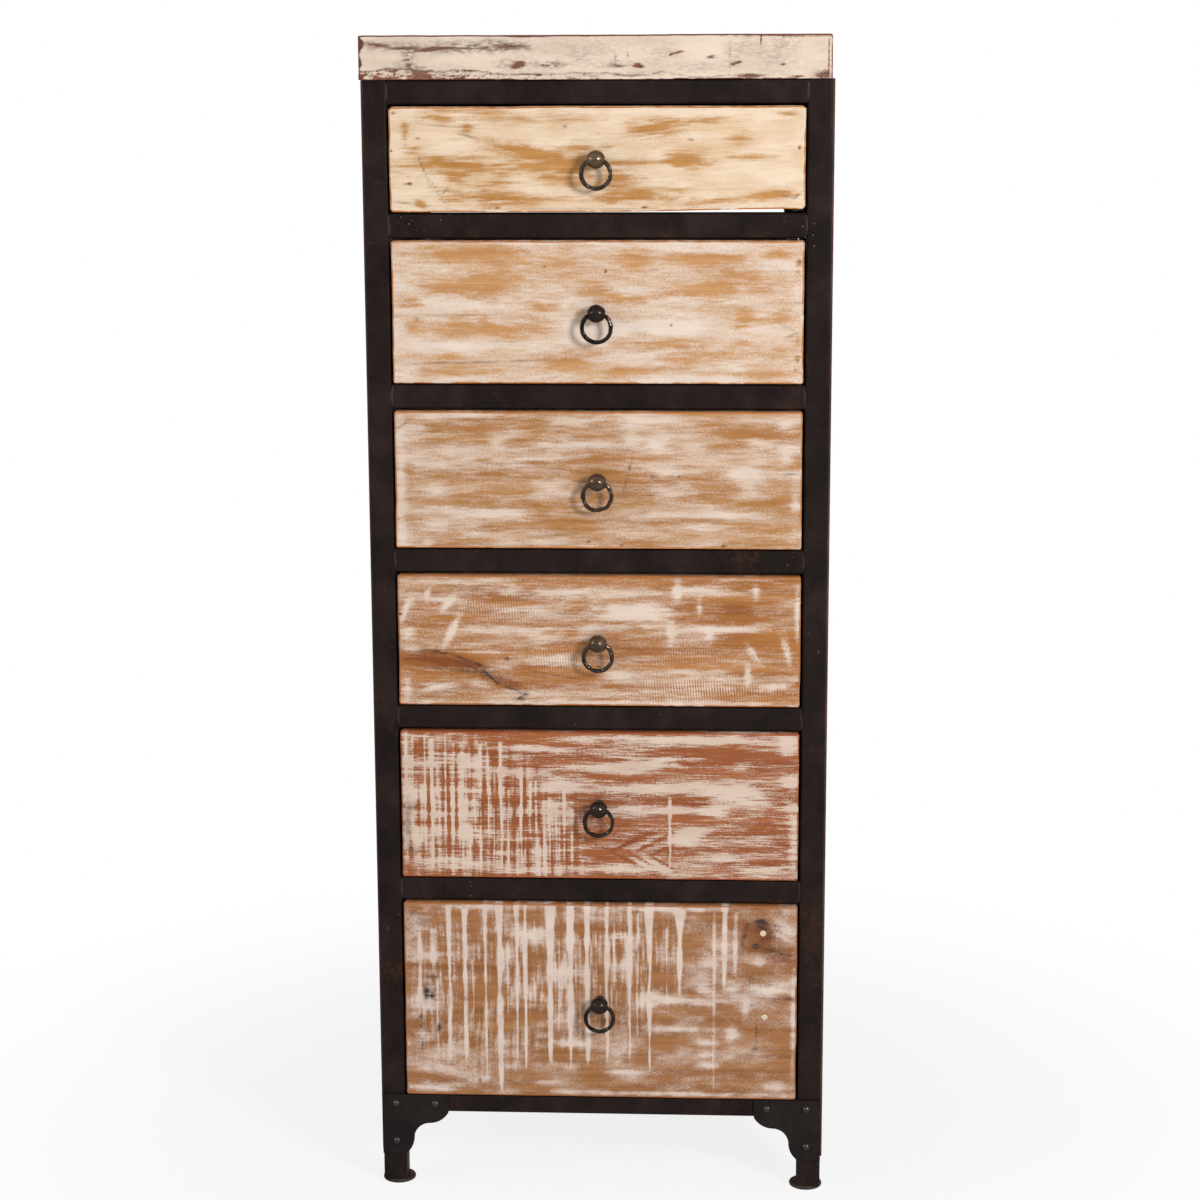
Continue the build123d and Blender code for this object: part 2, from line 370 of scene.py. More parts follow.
@dataclass(frozen=True)
class LimedWood:
    """Old wood under a worn coat of lime paint, laid out by the values that the board's mesh carries.

    Each triple is a noise's size, in cells to the metre along X, Y and Z.
    """

    name: str
    dark: Colour
    light: Colour
    deep: Colour
    lime: Colour
    lime_shade: Colour
    worn: Colour
    stain: Colour
    break_up: Triple = (26.0, 200.0, 330.0)
    ragged: float = 1.5
    dusty: float = 0.7
    cover: float = 0.94
    crisp: float = 0.44
    grain: Triple = (5.0, 40.0, 120.0)
    pore_depth: float = 0.22
    smear: Triple = (60.0, 200.0, 300.0)
    smear_edge: Pair = (0.28, 0.52)
    kerf_pitch: float = 2.8 * MM
    kerf_lean: float = 5.0
    kerf_bend: float = 1.2
    pores: Triple = (40.0, 300.0, 800.0)
    dust: Triple = (420.0, 420.0, 520.0)
    shading: Triple = (22.0, 60.0, 70.0)
    rubs: Triple = (90.0, 90.0, 90.0)
    relief: float = 0.25 * MM
    specular: float = 0.32

    def make(self) -> bpy.types.Material:
        """Builds the material.

        Returns:
            The material.
        """
        shader = Shader(self.name)
        grain = shader.noise(self.grain, 6.0, 0.6, 0.7)
        pores = shader.noise(self.pores, 3.0, 0.6)
        wood = shader.blend(shader.band(grain, 0.3, 0.72), self.dark, self.light)
        wood = shader.blend(shader.band(pores, 0.52, 0.75, 0.0, self.pore_depth), wood, self.deep)
        wood = shader.blend(shader.painted("tone"), wood, self.deep)
        fine = shader.noise(self.break_up, 6.0, 0.66, 0.15)
        dust = shader.noise(self.dust, 3.0, 0.65)
        kerfs = shader.kerfs(self.kerf_pitch, self.kerf_lean, self.kerf_bend)
        sawn = shader.math("MULTIPLY", shader.painted("saw"), shader.around(kerfs, 0.5))
        laid = shader.math("ADD", shader.painted("lime"), shader.around(fine, self.ragged))
        laid = shader.math("ADD", shader.math("ADD", laid, sawn), shader.around(dust, self.dusty))
        coat = shader.band(laid, 0.5 - self.crisp, 0.5 + self.crisp)
        shade = shader.band(shader.noise(self.shading), 0.35, 0.7)
        chalk = shader.blend(shade, self.lime, self.lime_shade)
        colour = shader.blend(shader.math("MULTIPLY", coat, self.cover), wood, chalk)
        smear = shader.noise(self.smear, 5.0, 0.7)
        soiled = shader.math("MULTIPLY", shader.painted("grime"), shader.band(smear, *self.smear_edge))
        colour = shader.blend(soiled, colour, self.stain)
        patchy = shader.around(shader.noise(self.rubs), 0.8)
        rubbed = shader.band(shader.math("ADD", shader.painted("wear"), patchy), 0.45, 0.7)
        colour = shader.blend(rubbed, colour, self.worn)
        height = shader.math("ADD", shader.math("MULTIPLY", coat, 0.6), shader.math("MULTIPLY", grain, 0.3))
        height = shader.math("ADD", height, shader.math("MULTIPLY", pores, -0.25))
        shader.relief(height, self.relief, 0.7)
        rough = shader.band(coat, 0.0, 1.0, 0.48, 0.62)
        shader.fill(shader.surface, Base_Color=colour, Roughness=rough, Specular_IOR_Level=self.specular)
        return shader.material


@dataclass(frozen=True)
class RawWood:
    """Plain planed wood inside the drawers, with its noise in cells to the metre along X, Y and Z."""

    name: str
    dark: Colour
    light: Colour
    grain: Triple
    stain: Colour = tint(120, 84, 52)
    patches: Triple = (3.0, 3.0, 5.0)
    relief: float = 0.3 * MM
    specular: float = 0.25

    def make(self) -> bpy.types.Material:
        """Builds the material.

        Returns:
            The material.
        """
        shader = Shader(self.name)
        grain = shader.noise(self.grain, 6.0, 0.62, 0.9)
        fibre = shader.noise(tuple(7 * scale for scale in self.grain), 3.0, 0.6)
        patch = shader.noise(self.patches, 3.0)
        wood = shader.blend(shader.band(grain, 0.32, 0.7), self.dark, self.light)
        wood = shader.blend(shader.band(fibre, 0.56, 0.75, 0.0, 0.45), wood, self.dark)
        wood = shader.blend(shader.band(patch, 0.5, 0.75, 0.0, 0.35), wood, self.stain)
        height = shader.math("ADD", grain, shader.math("MULTIPLY", fibre, 0.6))
        shader.relief(height, self.relief, 0.6)
        rough = shader.band(fibre, 0.3, 0.7, 0.6, 0.75)
        shader.fill(shader.surface, Base_Color=wood, Roughness=rough, Specular_IOR_Level=self.specular)
        return shader.material


@dataclass(frozen=True)
class Iron:
    """Dark waxed iron with rust-brown patches, fine rubs and a few bright specks.

    Each triple is a noise's size, in cells to the metre along X, Y and Z.
    """

    name: str
    dark: Colour
    light: Colour
    rust: Colour
    rust_share: float
    rough: float
    metal: float = 0.0
    specular: float = 0.09
    speck_share: float = 0.35
    rubs: Triple = (14.0, 60.0, 60.0)
    rub: Colour = tint(104, 92, 84)
    speck: Colour = tint(176, 160, 146)
    mottles: Triple = (26.0, 26.0, 22.0)
    scales: Triple = (170.0, 170.0, 170.0)
    blooms: Triple = (9.0, 9.0, 7.0)
    specks: Triple = (150.0, 150.0, 150.0)
    swarms: Triple = (12.0, 12.0, 12.0)
    relief: float = 0.3 * MM

    def make(self) -> bpy.types.Material:
        """Builds the material.

        Returns:
            The material.
        """
        shader = Shader(self.name)
        mottle = shader.noise(self.mottles, 6.0, 0.6, 0.4)
        scale = shader.noise(self.scales, 4.0, 0.6)
        colour = shader.blend(shader.band(mottle, 0.3, 0.75), self.dark, self.light)
        bloom = shader.noise(self.blooms, 5.0, 0.65, 0.5)
        rusted = shader.math("ADD", bloom, shader.around(scale, 0.35))
        rusted = shader.band(rusted, 0.78 - self.rust_share * 0.5, 0.95 - self.rust_share * 0.45, 0.0, 0.85)
        colour = shader.blend(rusted, colour, self.rust)
        rubbed = shader.band(shader.noise(self.rubs, 6.0, 0.75), 0.62, 0.8, 0.0, 0.28)
        colour = shader.blend(rubbed, colour, self.rub)
        specks = shader.band(shader.cells(self.specks), 0.14, 0.07)
        swarms = shader.band(shader.noise(self.swarms, 2.0), 0.59, 0.66)
        specks = shader.math("MULTIPLY", shader.math("MULTIPLY", specks, swarms), self.speck_share)
        colour = shader.blend(specks, colour, self.speck)
        rough = shader.band(scale, 0.3, 0.7, self.rough - 0.07, self.rough + 0.08)
        rough = shader.math("ADD", shader.math("MULTIPLY", rusted, 0.2), rough)
        height = shader.math("ADD", shader.math("MULTIPLY", scale, 0.5), mottle)
        shader.relief(height, self.relief, 0.5)
        shader.fill(shader.surface, Base_Color=colour, Roughness=rough)
        shader.fill(shader.surface, Metallic=self.metal, Specular_IOR_Level=self.specular)
        return shader.material


class Side(Enum):
    """The side of a box that one plain face closes."""

    BACK = "back"
    BOTTOM = "bottom"


def once_round(count: int) -> Array:
    """Angles once round a circle, in radians."""
    return np.linspace(0, 2 * math.pi, count, endpoint=False)


def in_rows(*values: Array) -> Array:
    """Places of points, one row each, from grids of their X, Y and Z."""
    return np.stack([value.ravel() for value in values], axis=1)


def looped(grid: Array) -> Array:
    """A grid whose rows close on themselves: its first column comes again after its last."""
    return np.concatenate([grid, grid[:, :1]], axis=1)


def quads(grid: Array, turned: bool) -> Array:
    """Faces over a grid of points.

    Args:
        grid: Numbers of the points, in rows and columns.
        turned: Whether the faces look the other way.

    Returns:
        One row of four numbers for each face.
    """
    corners = [grid[:-1, :-1], grid[1:, :-1], grid[1:, 1:], grid[:-1, 1:]]
    if turned:
        corners.reverse()
    return np.stack([corner.ravel() for corner in corners], axis=1)


def fan(hub: int, ring: Array) -> Array:
    """Triangles from one point to each side of a closed ring.

    Args:
        hub: Number of the point.
        ring: Numbers of the ring's points, in the order in which the faces turn.

    Returns:
        One row of three numbers for each face.
    """
    return np.stack([np.full(len(ring), hub), ring, np.roll(ring, -1)], axis=1)


def rim(grid: Array) -> Array:
    """Numbers of the points round a grid's border, down its first side first."""
    return np.concatenate([grid[0, :-1], grid[:-1, -1], grid[-1, :0:-1], grid[:0:-1, 0]])


def make_object(name: str, points: Array, faces: list[Array], crease: float = 40.0) -> bpy.types.Object:
    """A mesh object, smooth but for its sharp edges.

    Args:
        name: The piece's name.
        points: Places of the points, in metres.
        faces: Arrays of faces, one row for each face, all as long within one array.
        crease: Edges that turn by more degrees than this stay sharp.

    Returns:
        The object, in the scene.
    """
    mesh = bpy.data.meshes.new(name)
    mesh.from_pydata(points.tolist(), [], [row for block in faces for row in block.tolist()])
    mesh.validate()
    mesh.shade_smooth()
    mesh.set_sharp_from_angle(angle=math.radians(crease))
    made = bpy.data.objects.new(name, mesh)
    bpy.context.scene.collection.objects.link(made)
    return made


def carry(made: bpy.types.Object, **values: Array) -> None:
    """Writes values on an object's points for its material to read.

    Args:
        made: The object.
        values: One array for each name, with a value for each point.
    """
    for name, value in values.items():
        layer = made.data.attributes.new(name, "FLOAT", "POINT")
        layer.data.foreach_set("value", np.ascontiguousarray(value, dtype=np.float32))


def dress(node: str, material: bpy.types.Material) -> None:
    """Gives a solid of the frame its material.

    Args:
        node: The solid's name.
        material: Its material.
    """
    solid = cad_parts[node]
    if not solid.material_slots:
        solid.data.materials.append(material)
    for slot in solid.material_slots:
        slot.link = "OBJECT"
        slot.material = material


@dataclass(frozen=True)
class Stroke:
    """One stroke of the brush on a face.

    Its middle is in hundredths of the face, its half lengths are in millimetres and its turn is in degrees.
    A stroke of negative strength takes lime away.
    """

    across: float
    down: float
    long: float
    high: float
    strength: float = 1.0
    turn: float = 0.0


@dataclass(frozen=True)
class Nick:
    """A dent in a face: its middle in hundredths of the face, its half lengths and depth in millimetres."""

    across: float
    down: float
    long: float
    high: float
    depth: float
    dark: float = 0.8


@dataclass(frozen=True)
class Line:
    """An upright line of paint.

    Its place across and its two ends are in hundredths of the face, its width is in millimetres.
    """

    across: float
    width: float
    start: float
    end: float
    strength: float = 1.0


def marks(kind: type[Mark], *rows: tuple[float, ...]) -> tuple[Mark, ...]:
    """Marks of one kind, placed on a face.

    Args:
        kind: Stroke, Nick or Line.
        rows: What each mark's fields say, in their order.

    Returns:
        The marks.
    """
    return tuple(kind(*row) for row in rows)


class WornBox:
    """A block of wood with worn arrises, on a grid fine enough to carry its paint.

    The near lines lie by an arris, in shares of its radius. The lowest edge, up to the foot in millimetres,
    keeps only its share of that radius. Edges that turn by more degrees than the crease stay sharp.
    """

    near: tuple[float, ...] = (0.0, 0.18, 0.42, 0.75, 1.15, 1.7)
    foot: float = 6.0
    foot_share: float = 0.2
    crease: float = 50.0

    def __init__(
        self, low: Vector, high: Vector, steps: Triple, arris: float, seed: int, plain: Side
    ) -> None:
        """Lays out the grid.

        Args:
            low: Lowest corner.
            high: Highest corner.
            steps: Spacing of the grid along each axis, in millimetres.
            arris: Mean radius of the worn arrises, in millimetres.
            seed: Seed of its wear.
            plain: The side that needs no grid.
        """
        self.low, self.high = np.array(low), np.array(high)
        self.cloud = Cloud(seed)
        self.arris = arris * MM
        self.lines = [self.spread(axis, steps[axis] * MM) for axis in range(3)]
        self.plain = plain
        self.lattice()

    def spread(self, axis: int, step: float) -> Array:
        """Grid lines along one axis, closer together at both arrises.

        Args:
            axis: 0, 1 or 2.
            step: Spacing away from the arrises.

        Returns:
            Places of the lines.
        """
        near = self.arris * np.array(self.near)
        low, high = self.low[axis] + near[-1], self.high[axis] - near[-1]
        inner = np.linspace(low, high, max(2, int(round((high - low) / step)) + 1))
        return np.concatenate([self.low[axis] + near[:-1], inner, self.high[axis] - near[-2::-1]])

    def lattice(self) -> None:
        """Numbers the points of the skin and joins them with faces."""
        counts = [len(line) for line in self.lines]
        skin = np.zeros(counts, dtype=bool)
        for axis in range(3):
            for end in (0, -1):
                skin[tuple(end if other == axis else slice(None) for other in range(3))] = True
        inner = slice(1, -1)
        skin[(inner, -1, inner) if self.plain is Side.BACK else (inner, inner, 0)] = False
        middle = [count // 2 for count in counts]
        hub = (middle[0], -1, middle[2]) if self.plain is Side.BACK else (middle[0], middle[1], 0)
        skin[hub] = True
        number = np.full(counts, -1)
        number[skin] = np.arange(int(skin.sum()))
        self.cells = np.argwhere(skin)
        self.points = np.stack([self.lines[axis][self.cells[:, axis]] for axis in range(3)], axis=1)
        grids = [quads(number[:, 0, :], False), quads(number[0], True), quads(number[-1], False)]
        grids.append(quads(number[:, :, -1], False))
        if self.plain is Side.BACK:
            grids.append(quads(number[:, :, 0], True))
            cap = rim(number[:, -1, :])
        else:
            grids.append(quads(number[:, -1, :], True))
            cap = rim(number[:, :, 0])
        self.faces = [np.concatenate(grids), fan(int(number[hub]), cap)]
        self.front = self.cells[:, 1] == 0
        inward = np.minimum(self.points - self.low, self.high - self.points)
        self.edge = np.sort(inward, axis=1)[:, 1]
        self.across = (self.points[:, 0] - self.low[0]) / MM
        self.down = (self.high[2] - self.points[:, 2]) / MM
        self.width, self.height = (self.high - self.low)[[0, 2]] / MM
        self.zero = np.zeros(len(self.points))

    def clip_corners(self, radius: float) -> None:
        """Rounds the four corners of the front, seen from the front.

        Args:
            radius: Radius of the corners, in millimetres.
        """
        plan = self.points[:, [0, 2]]
        inner = np.clip(plan, self.low[[0, 2]] + radius * MM, self.high[[0, 2]] - radius * MM)
        out = plan - inner
        far, size = np.abs(out).max(axis=1), np.linalg.norm(out, axis=1)
        self.points[:, [0, 2]] = inner + out * (far / np.maximum(size, 1e-9))[:, np.newaxis]

    def round(self, sag: float) -> None:
        """Rounds the arrises, more in some places than in others, and lets the sides drift a little inward.

        Args:
            sag: The most that a side drifts, in millimetres.
        """
        along = self.points.sum(axis=1) / MM
        worn = self.cloud.layered(along / 31, self.points[:, 0] / MM / 47 + 3.0, 4)
        radius = self.arris * np.clip(0.45 + 1.1 * worn, 0.35, 1.6)
        radius = radius * np.where(self.down > self.height - self.foot, self.foot_share, 1.0)
        radius = radius[:, np.newaxis]
        inner = np.clip(self.points, self.low + radius, self.high - radius)
        out = self.points - inner
        self.points = inner + radius * out / np.maximum(np.linalg.norm(out, axis=1, keepdims=True), 1e-9)
        for axis, other in ((0, 2), (2, 0)):
            span = self.high[axis] - self.low[axis]
            share = (self.points[:, axis] - self.low[axis]) / span
            place = self.points[:, other] / MM / 45
            held = 0.3 if axis == 2 else 1.0
            low = sag * MM * self.cloud.layered(place, self.zero + 5.5 + axis) * held
            high = sag * MM * self.cloud.layered(place, self.zero + 15.5 + axis)
            self.points[:, axis] += low * (1 - share) - high * share

    def dent(self, nick: Nick) -> Array:
        """Presses a nick into the front.

        Args:
            nick: The nick.

        Returns:
            How much of the nick each point takes, from 0 to 1.
        """
        along = (self.across - nick.across * self.width / 100) / nick.long
        over = (self.down - nick.down * self.height / 100) / nick.high
        ragged = 0.5 * (self.cloud.layered(self.across / 2.1, self.down / 2.1) - 0.5)
        share = ease(1.15, 0.35, np.hypot(along, over) + ragged) * self.front
        self.points[:, 1] += share * nick.depth * MM
        return share

    def brush(self, stroke: Stroke) -> Array:
        """How much of a stroke each point takes.

        Args:
            stroke: The stroke.

        Returns:
            Shares from 0 to 1, ragged as the brush leaves them.
        """
        across = self.across - stroke.across * self.width / 100
        down = self.down - stroke.down * self.height / 100
        turn = math.radians(stroke.turn)
        along = across * math.cos(turn) - down * math.sin(turn)
        over = across * math.sin(turn) + down * math.cos(turn)
        start = stroke.across * 7.7 + stroke.down * 3.1
        fluff = self.cloud.layered(along / 13 + start, over / 4.0, 4) - 0.5
        hair = self.cloud.layered(along / 34 + start, over / 1.5, 2)
        reach = np.hypot(along / stroke.long, over / stroke.high) + 0.8 * fluff
        return np.exp(-1.2 * np.maximum(reach, 0) ** 2) * (0.62 + 0.7 * hair)

    def make(self, name: str) -> bpy.types.Object:
        """Makes the object, under the piece's name."""
        return make_object(name, self.points, self.faces, self.crease)


@dataclass
class TopSlab:
    """The thick painted plank on top, in millimetres. Its right end stops short of the solid's."""

    node: str = "top_slab"
    arris: float = 2.4
    short: float = 3.0
    seed: int = 5
    grid: Triple = (1.6, 5.0, 1.2)
    sag: float = 0.8
    flake_line: float = 34.0
    seam_line: float = 39.5
    finish: LimedWood = LimedWood(
        "slab_paint",
        dark=tint(98, 52, 34), light=tint(138, 82, 54), deep=tint(84, 40, 22), lime=tint(234, 215, 194),
        lime_shade=tint(221, 200, 180), worn=tint(108, 56, 34), stain=tint(112, 92, 82),
        break_up=(40.0, 60.0, 240.0), ragged=1.0, dusty=0.8, cover=1.0, crisp=0.34,
        smear=(170.0, 200.0, 420.0), smear_edge=(0.33, 0.6),
    )
    bare: tuple[Stroke, ...] = marks(
        Stroke,
        (3.5, 21, 16, 2.2, 1.0, -6), (10, 29, 22, 1.8, 0.8), (15, 33, 22, 2.0, 0.9, 8),
        (23, 30, 42, 1.8, 0.75), (33, 25, 20, 3.0, 0.85), (34, 3, 18, 1.6, 0.8),
        (34, 66.5, 7, 3.2, 1.0), (33.2, 72, 5, 2.4, 0.8), (34.8, 63, 4, 2, 0.7), (55, 69, 9, 2.6, 0.75),
        (59, 68, 6, 3.2, 0.85), (59.8, 73, 4, 1.6, 0.7), (67.5, 41, 7, 1.3, 0.95, 14),
        (66, 46, 2.4, 1.4, 0.8, 50), (80.3, 64, 6, 1.8, 0.9, 12), (79.2, 69, 4, 1.6, 0.8),
        (57, 45, 1.2, 6, 0.5), (85, 14, 0.9, 5, 1.6), (89.5, 68, 2.4, 1.7, 0.95),
        (43, 2, 120, 1.4, 0.6), (92, 3, 60, 1.8, 0.9), (83, 93, 14, 2.4, 0.95), (97.5, 93, 8, 3, 0.9),
        (98.6, 86, 3, 4, 0.8, 40), (93, 95, 10, 1.6, 0.85), (99.2, 45, 0.8, 24, 1.0),
        (54.5, 52, 1.0, 5, 0.7),
    )
    smears: tuple[Stroke, ...] = marks(
        Stroke,
        (10.8, 52, 6, 12, 1.1), (20, 30, 70, 5, 1.0), (31, 24, 26, 6, 0.9), (22, 15, 40, 3, 0.5),
        (33.5, 66, 20, 6, 0.6), (5, 20, 24, 4, 0.7), (13, 76, 30, 4, 0.6), (50, 30, 40, 12, 0.3),
        (88, 55, 24, 14, 0.35), (40, 70, 16, 3.5, 0.7), (10, 68, 14, 4, 0.6), (54, 68, 16, 4, 0.7),
        (47, 55, 12, 8, 0.35), (64, 40, 18, 10, 0.35), (72, 72, 22, 6, 0.5), (74.5, 51, 4, 1.8, 2.2),
        (79, 45, 9, 14, 0.45), (82, 25, 16, 8, 0.4), (90, 22, 14, 7, 0.45), (60, 88, 30, 3, 0.4),
        (97, 90, 9, 4, 0.6), (78.4, 50, 0.9, 18, 0.45), (41, 66, 14, 2.6, 1.0), (84, 93, 12, 1.6, 1.2),
    )
    flaked: Array = field(init=False)
    ledge: Array = field(init=False)
    seam: Array = field(init=False)

    def build(self) -> bpy.types.Object:
        """Builds and paints the plank.

        Returns:
            The piece.
        """
        low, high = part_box(self.node)
        high = Vector((high[0] - self.short * MM, high[1], high[2]))
        box = WornBox(low, high, self.grid, self.arris, self.seed, Side.BOTTOM)
        self.flake(box)
        box.round(self.sag)
        made = box.make(self.node + "_plank")
        self.paint(box, made)
        made.data.materials.append(self.finish.make())
        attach(made, "frame")
        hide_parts(self.node)
        return made

    def flake(self, box: WornBox) -> None:
        """Breaks the front's lower paint into flakes, opens its seam and dents its upper arris.

        Args:
            box: The plank.
        """
        crest = self.flake_line + 8.0 * (box.cloud.layered(box.across / 38, box.zero + 2.0) - 0.5)
        crest = crest + 0.02 * box.across
        reach = ease(330, 150, box.across) * box.front
        self.flaked = ease(-0.4, 0.4, box.down - crest) * reach
        self.ledge = np.exp(-(((box.down - crest) / 0.9) ** 2)) * reach
        second = self.seam_line + 7.0 * (box.cloud.layered(box.across / 30, box.zero + 12.0) - 0.5)
        reach = ease(215, 240, box.across) * ease(390, 360, box.across) * box.front
        self.seam = np.exp(-(((box.down - second) / 0.8) ** 2)) * reach
        lumps = box.cloud.layered(box.across / 7, box.down / 3.5)
        relief = 0.5 * self.flaked * lumps - 0.5 * self.ledge * (lumps > 0.42) + 0.3 * self.seam
        box.points[:, 1] += MM * relief
        wave = box.cloud.layered(box.across / 60, box.points[:, 1] / MM / 60, 3) - 0.5
        box.points[:, 2] += MM * 0.5 * wave * (box.down < 0.01)

    def paint(self, box: WornBox, made: bpy.types.Object) -> None:
        """Lays the paint, its wear and its soil out over the plank.

        Args:
            box: The plank.
            made: Its object.
        """
        deep = box.points[:, 1] / MM
        end = np.abs(box.across / box.width - 0.5) > 0.499
        along = np.where(end, deep + 900, box.across)
        over = np.where(box.down < 0.01, deep, 1.3 * box.down)
        patch = box.cloud.layered(along / 42, over / 11, 5)
        drift = box.cloud.layered(along / 90 + 9, over / 34 + 4, 4)
        lime = np.where(box.front, 0.95, 0.66 + 0.9 * (patch - 0.35))
        for stroke in self.bare:
            lime -= np.where(box.front, stroke.strength * box.brush(stroke), 0)
        plates = box.cloud.layered(box.across / 14, box.down / 7 + 3, 3)
        cracks = ease(0.16, 0.03, np.abs((plates * 6) % 1 - 0.5))
        flakes = box.cloud.layered(box.across / 12 + 7, box.down / 4, 3)
        flakes = flakes + 0.28 * ease(110, 60, box.across) - 0.12
        lime -= self.flaked * (0.05 + 0.55 * cracks + 0.6 * ease(0.5, 0.68, flakes))
        lime -= 0.95 * self.ledge * plates + 0.8 * self.seam * plates
        grime = np.where(box.front, 0.1 * drift + 0.3 * self.flaked * plates, 0.55 * ease(0.45, 0.8, drift))
        grime += 0.7 * self.ledge + 0.6 * self.seam
        for stroke in self.smears:
            grime += np.where(box.front, 0.8 * stroke.strength * box.brush(stroke), 0)
        ragged = 7 * box.cloud.layered(box.down / 9, box.zero + 1.5, 3)
        ends = np.maximum(ease(8.5, 4.5, box.across + ragged), 0.7 * ease(2.5, 0.5, box.width - box.across))
        tone = np.clip(ends + 0.6 * ease(0.5, 0.8, patch), 0, 1)
        lime -= 0.9 * np.where(box.front, ends, 0)
        wear = ease(2.2, 0.7, box.edge / MM) * (0.6 + 0.5 * drift)
        wear *= np.where(box.down < 3.0, 1.3, 0.75)
        carry(made, lime=lime, tone=tone, grime=grime, wear=wear, saw=box.zero)


class Grid(Enum):
    """Which way a front's paint runs, and so which way its grid is finer.

    The spacing is in millimetres along X, Y and Z.
    """

    ACROSS = (2.2, 6.0, 1.25)
    UPRIGHT = (1.15, 6.0, 2.2)


SHINY = dict(metal=0.85, specular=0.4)


class PullFinish(Enum):
    """The two sorts of pull: the finish of the stud, then that of the ring."""

    BRONZE = (
        Iron("pull_stud_bronze", tint(66, 52, 42), tint(116, 96, 74), tint(92, 62, 42), 0.2, 0.25, **SHINY),
        Iron("pull_ring_grey", tint(46, 38, 35), tint(86, 75, 68), tint(84, 58, 44), 0.1, 0.2, **SHINY),
    )
    BLACK = (
        Iron("pull_stud_black", tint(32, 26, 24), tint(58, 49, 44), tint(72, 48, 36), 0.12, 0.18, **SHINY),
        Iron("pull_ring_black", tint(30, 25, 24), tint(58, 51, 48), tint(72, 48, 36), 0.1, 0.18, **SHINY),
    )


@dataclass
class DrawerFront:
    """One front of reclaimed wood with its own layer of old paint, in millimetres.

    The base is how much lime lies on it before the clouds and strokes.
    """

    place: int
    finish: LimedWood
    grid: Grid
    base: float
    clouds: float
    cloud_size: Pair
    strokes: tuple[Stroke, ...]
    lines: tuple[Line, ...] = ()
    bars: tuple[Stroke, ...] = ()
    bar_size: Pair = (3.0, 50.0)
    sawn: tuple[Stroke, ...] = ()
    toned: tuple[Stroke, ...] = ()
    soiled: tuple[Stroke, ...] = ()
    nicks: tuple[Nick, ...] = ()
    arris: float = 2.0
    sag: float = 0.9
    corner: float = 2.6
    warp: float = 0.0
    warp_start: float = 56.0
    edge_wear: float = 1.0
    seed: int = 20
    pull: PullFinish = PullFinish.BLACK
    name: str = field(init=False)

    def __post_init__(self) -> None:
        """Names the solid that it stands for."""
        self.name = f"drawer_{self.place}_front"

    def build(self) -> bpy.types.Object:
        """Builds and paints the front.

        Returns:
            The piece.
        """
        low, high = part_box(self.name)
        box = WornBox(low, high, self.grid.value, self.arris, self.seed + self.place, Side.BACK)
        lime = self.lay_lime(box)
        grime = self.lay_soil(box)
        saw = self.add_up(box, self.sawn)
        self.carve(box, lime)
        for nick in self.nicks:
            share = box.dent(nick)
            grime = np.maximum(grime, nick.dark * share)
            lime -= nick.dark * share
        box.round(self.sag)
        box.clip_corners(self.corner)
        rise = self.warp * MM * ease(self.warp_start - 6, 96, 100 * box.across / box.width)
        box.points[:, 2] += rise * (box.down / box.height) ** 2
        made = box.make(self.name + "_board")
        tone = np.clip(self.add_up(box, self.toned), 0, 1)
        patchy = 0.45 + 0.6 * box.cloud.layered(box.across / 26, box.down / 26)
        wear = ease(3.0, 0.8, box.edge / MM) * patchy
        wear *= self.edge_wear * np.where(box.down < 4.0, 1.35, 0.95)
        wear = np.where(box.front, wear, 0.55)
        carry(made, lime=lime, tone=tone, grime=grime, wear=wear, saw=saw)
        made.data.materials.append(self.finish.make())
        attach(made, f"drawer_{self.place}")
        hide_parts(self.name)
        return made

    def add_up(self, box: WornBox, strokes: tuple[Stroke, ...]) -> Array:
        """Adds up strokes.

        Args:
            box: The board.
            strokes: The strokes.

        Returns:
            Their sum at each point.
        """
        total = box.zero.copy()
        for stroke in strokes:
            total += stroke.strength * box.brush(stroke)
        return total

    def lay_lime(self, box: WornBox) -> Array:
        """Lays out the lime: an uneven coat, then the strokes and lines that this front shows.

        Args:
            box: The board.

        Returns:
            How much lime each point has, around a half where it is half worn off.
        """
        long, high = self.cloud_size
        coat = box.cloud.layered(box.across / long, box.down / high, 5)
        lime = self.base + self.clouds * (coat - 0.5) + self.add_up(box, self.strokes)
        wide, tall = self.bar_size
        bar = box.cloud.layered(box.across / wide, box.down / tall + 60, 3) - 0.5
        lime += np.clip(self.add_up(box, self.bars), 0, 1.5) * 1.6 * bar
        for number, line in enumerate(self.lines):
            lime += self.draw(box, line, number)
        return lime

    def draw(self, box: WornBox, line: Line, number: int) -> Array:
        """How much of an upright line of paint each point takes.

        Args:
            box: The board.
            line: The line.
            number: Its number, which sets its wobble.

        Returns:
            Its share at each point.
        """
        start, end = (share * box.height / 100 for share in (line.start, line.end))
        wander = 1.4 * (box.cloud.layered(box.down / 55, box.zero + 3.3 * number, 2) - 0.5)
        swell = 0.4 + 1.1 * box.cloud.layered(box.down / 30, box.zero + 9.1 * number + 4, 2)
        run = np.clip((box.down - start) / (end - start), 0, 1)
        off = np.abs(box.across - line.across * box.width / 100 - wander)
        body = ease(1.6, 0.5, off / (0.5 * line.width * swell * (1.15 - 0.75 * run)))
        thin = 0.55 + 0.8 * box.cloud.layered(box.across / 5, box.down / 22 + 5.1 * number, 3)
        fresh = line.strength * body * thin * ease(start - 3, start + 1, box.down)
        return fresh * ease(end, end - 24, box.down)

    def lay_soil(self, box: WornBox) -> Array:
        """Lays out the soil.

        Args:
            box: The board.

        Returns:
            How soiled each point is.
        """
        return 0.05 * box.cloud.layered(box.across / 35, box.down / 20) + self.add_up(box, self.soiled)

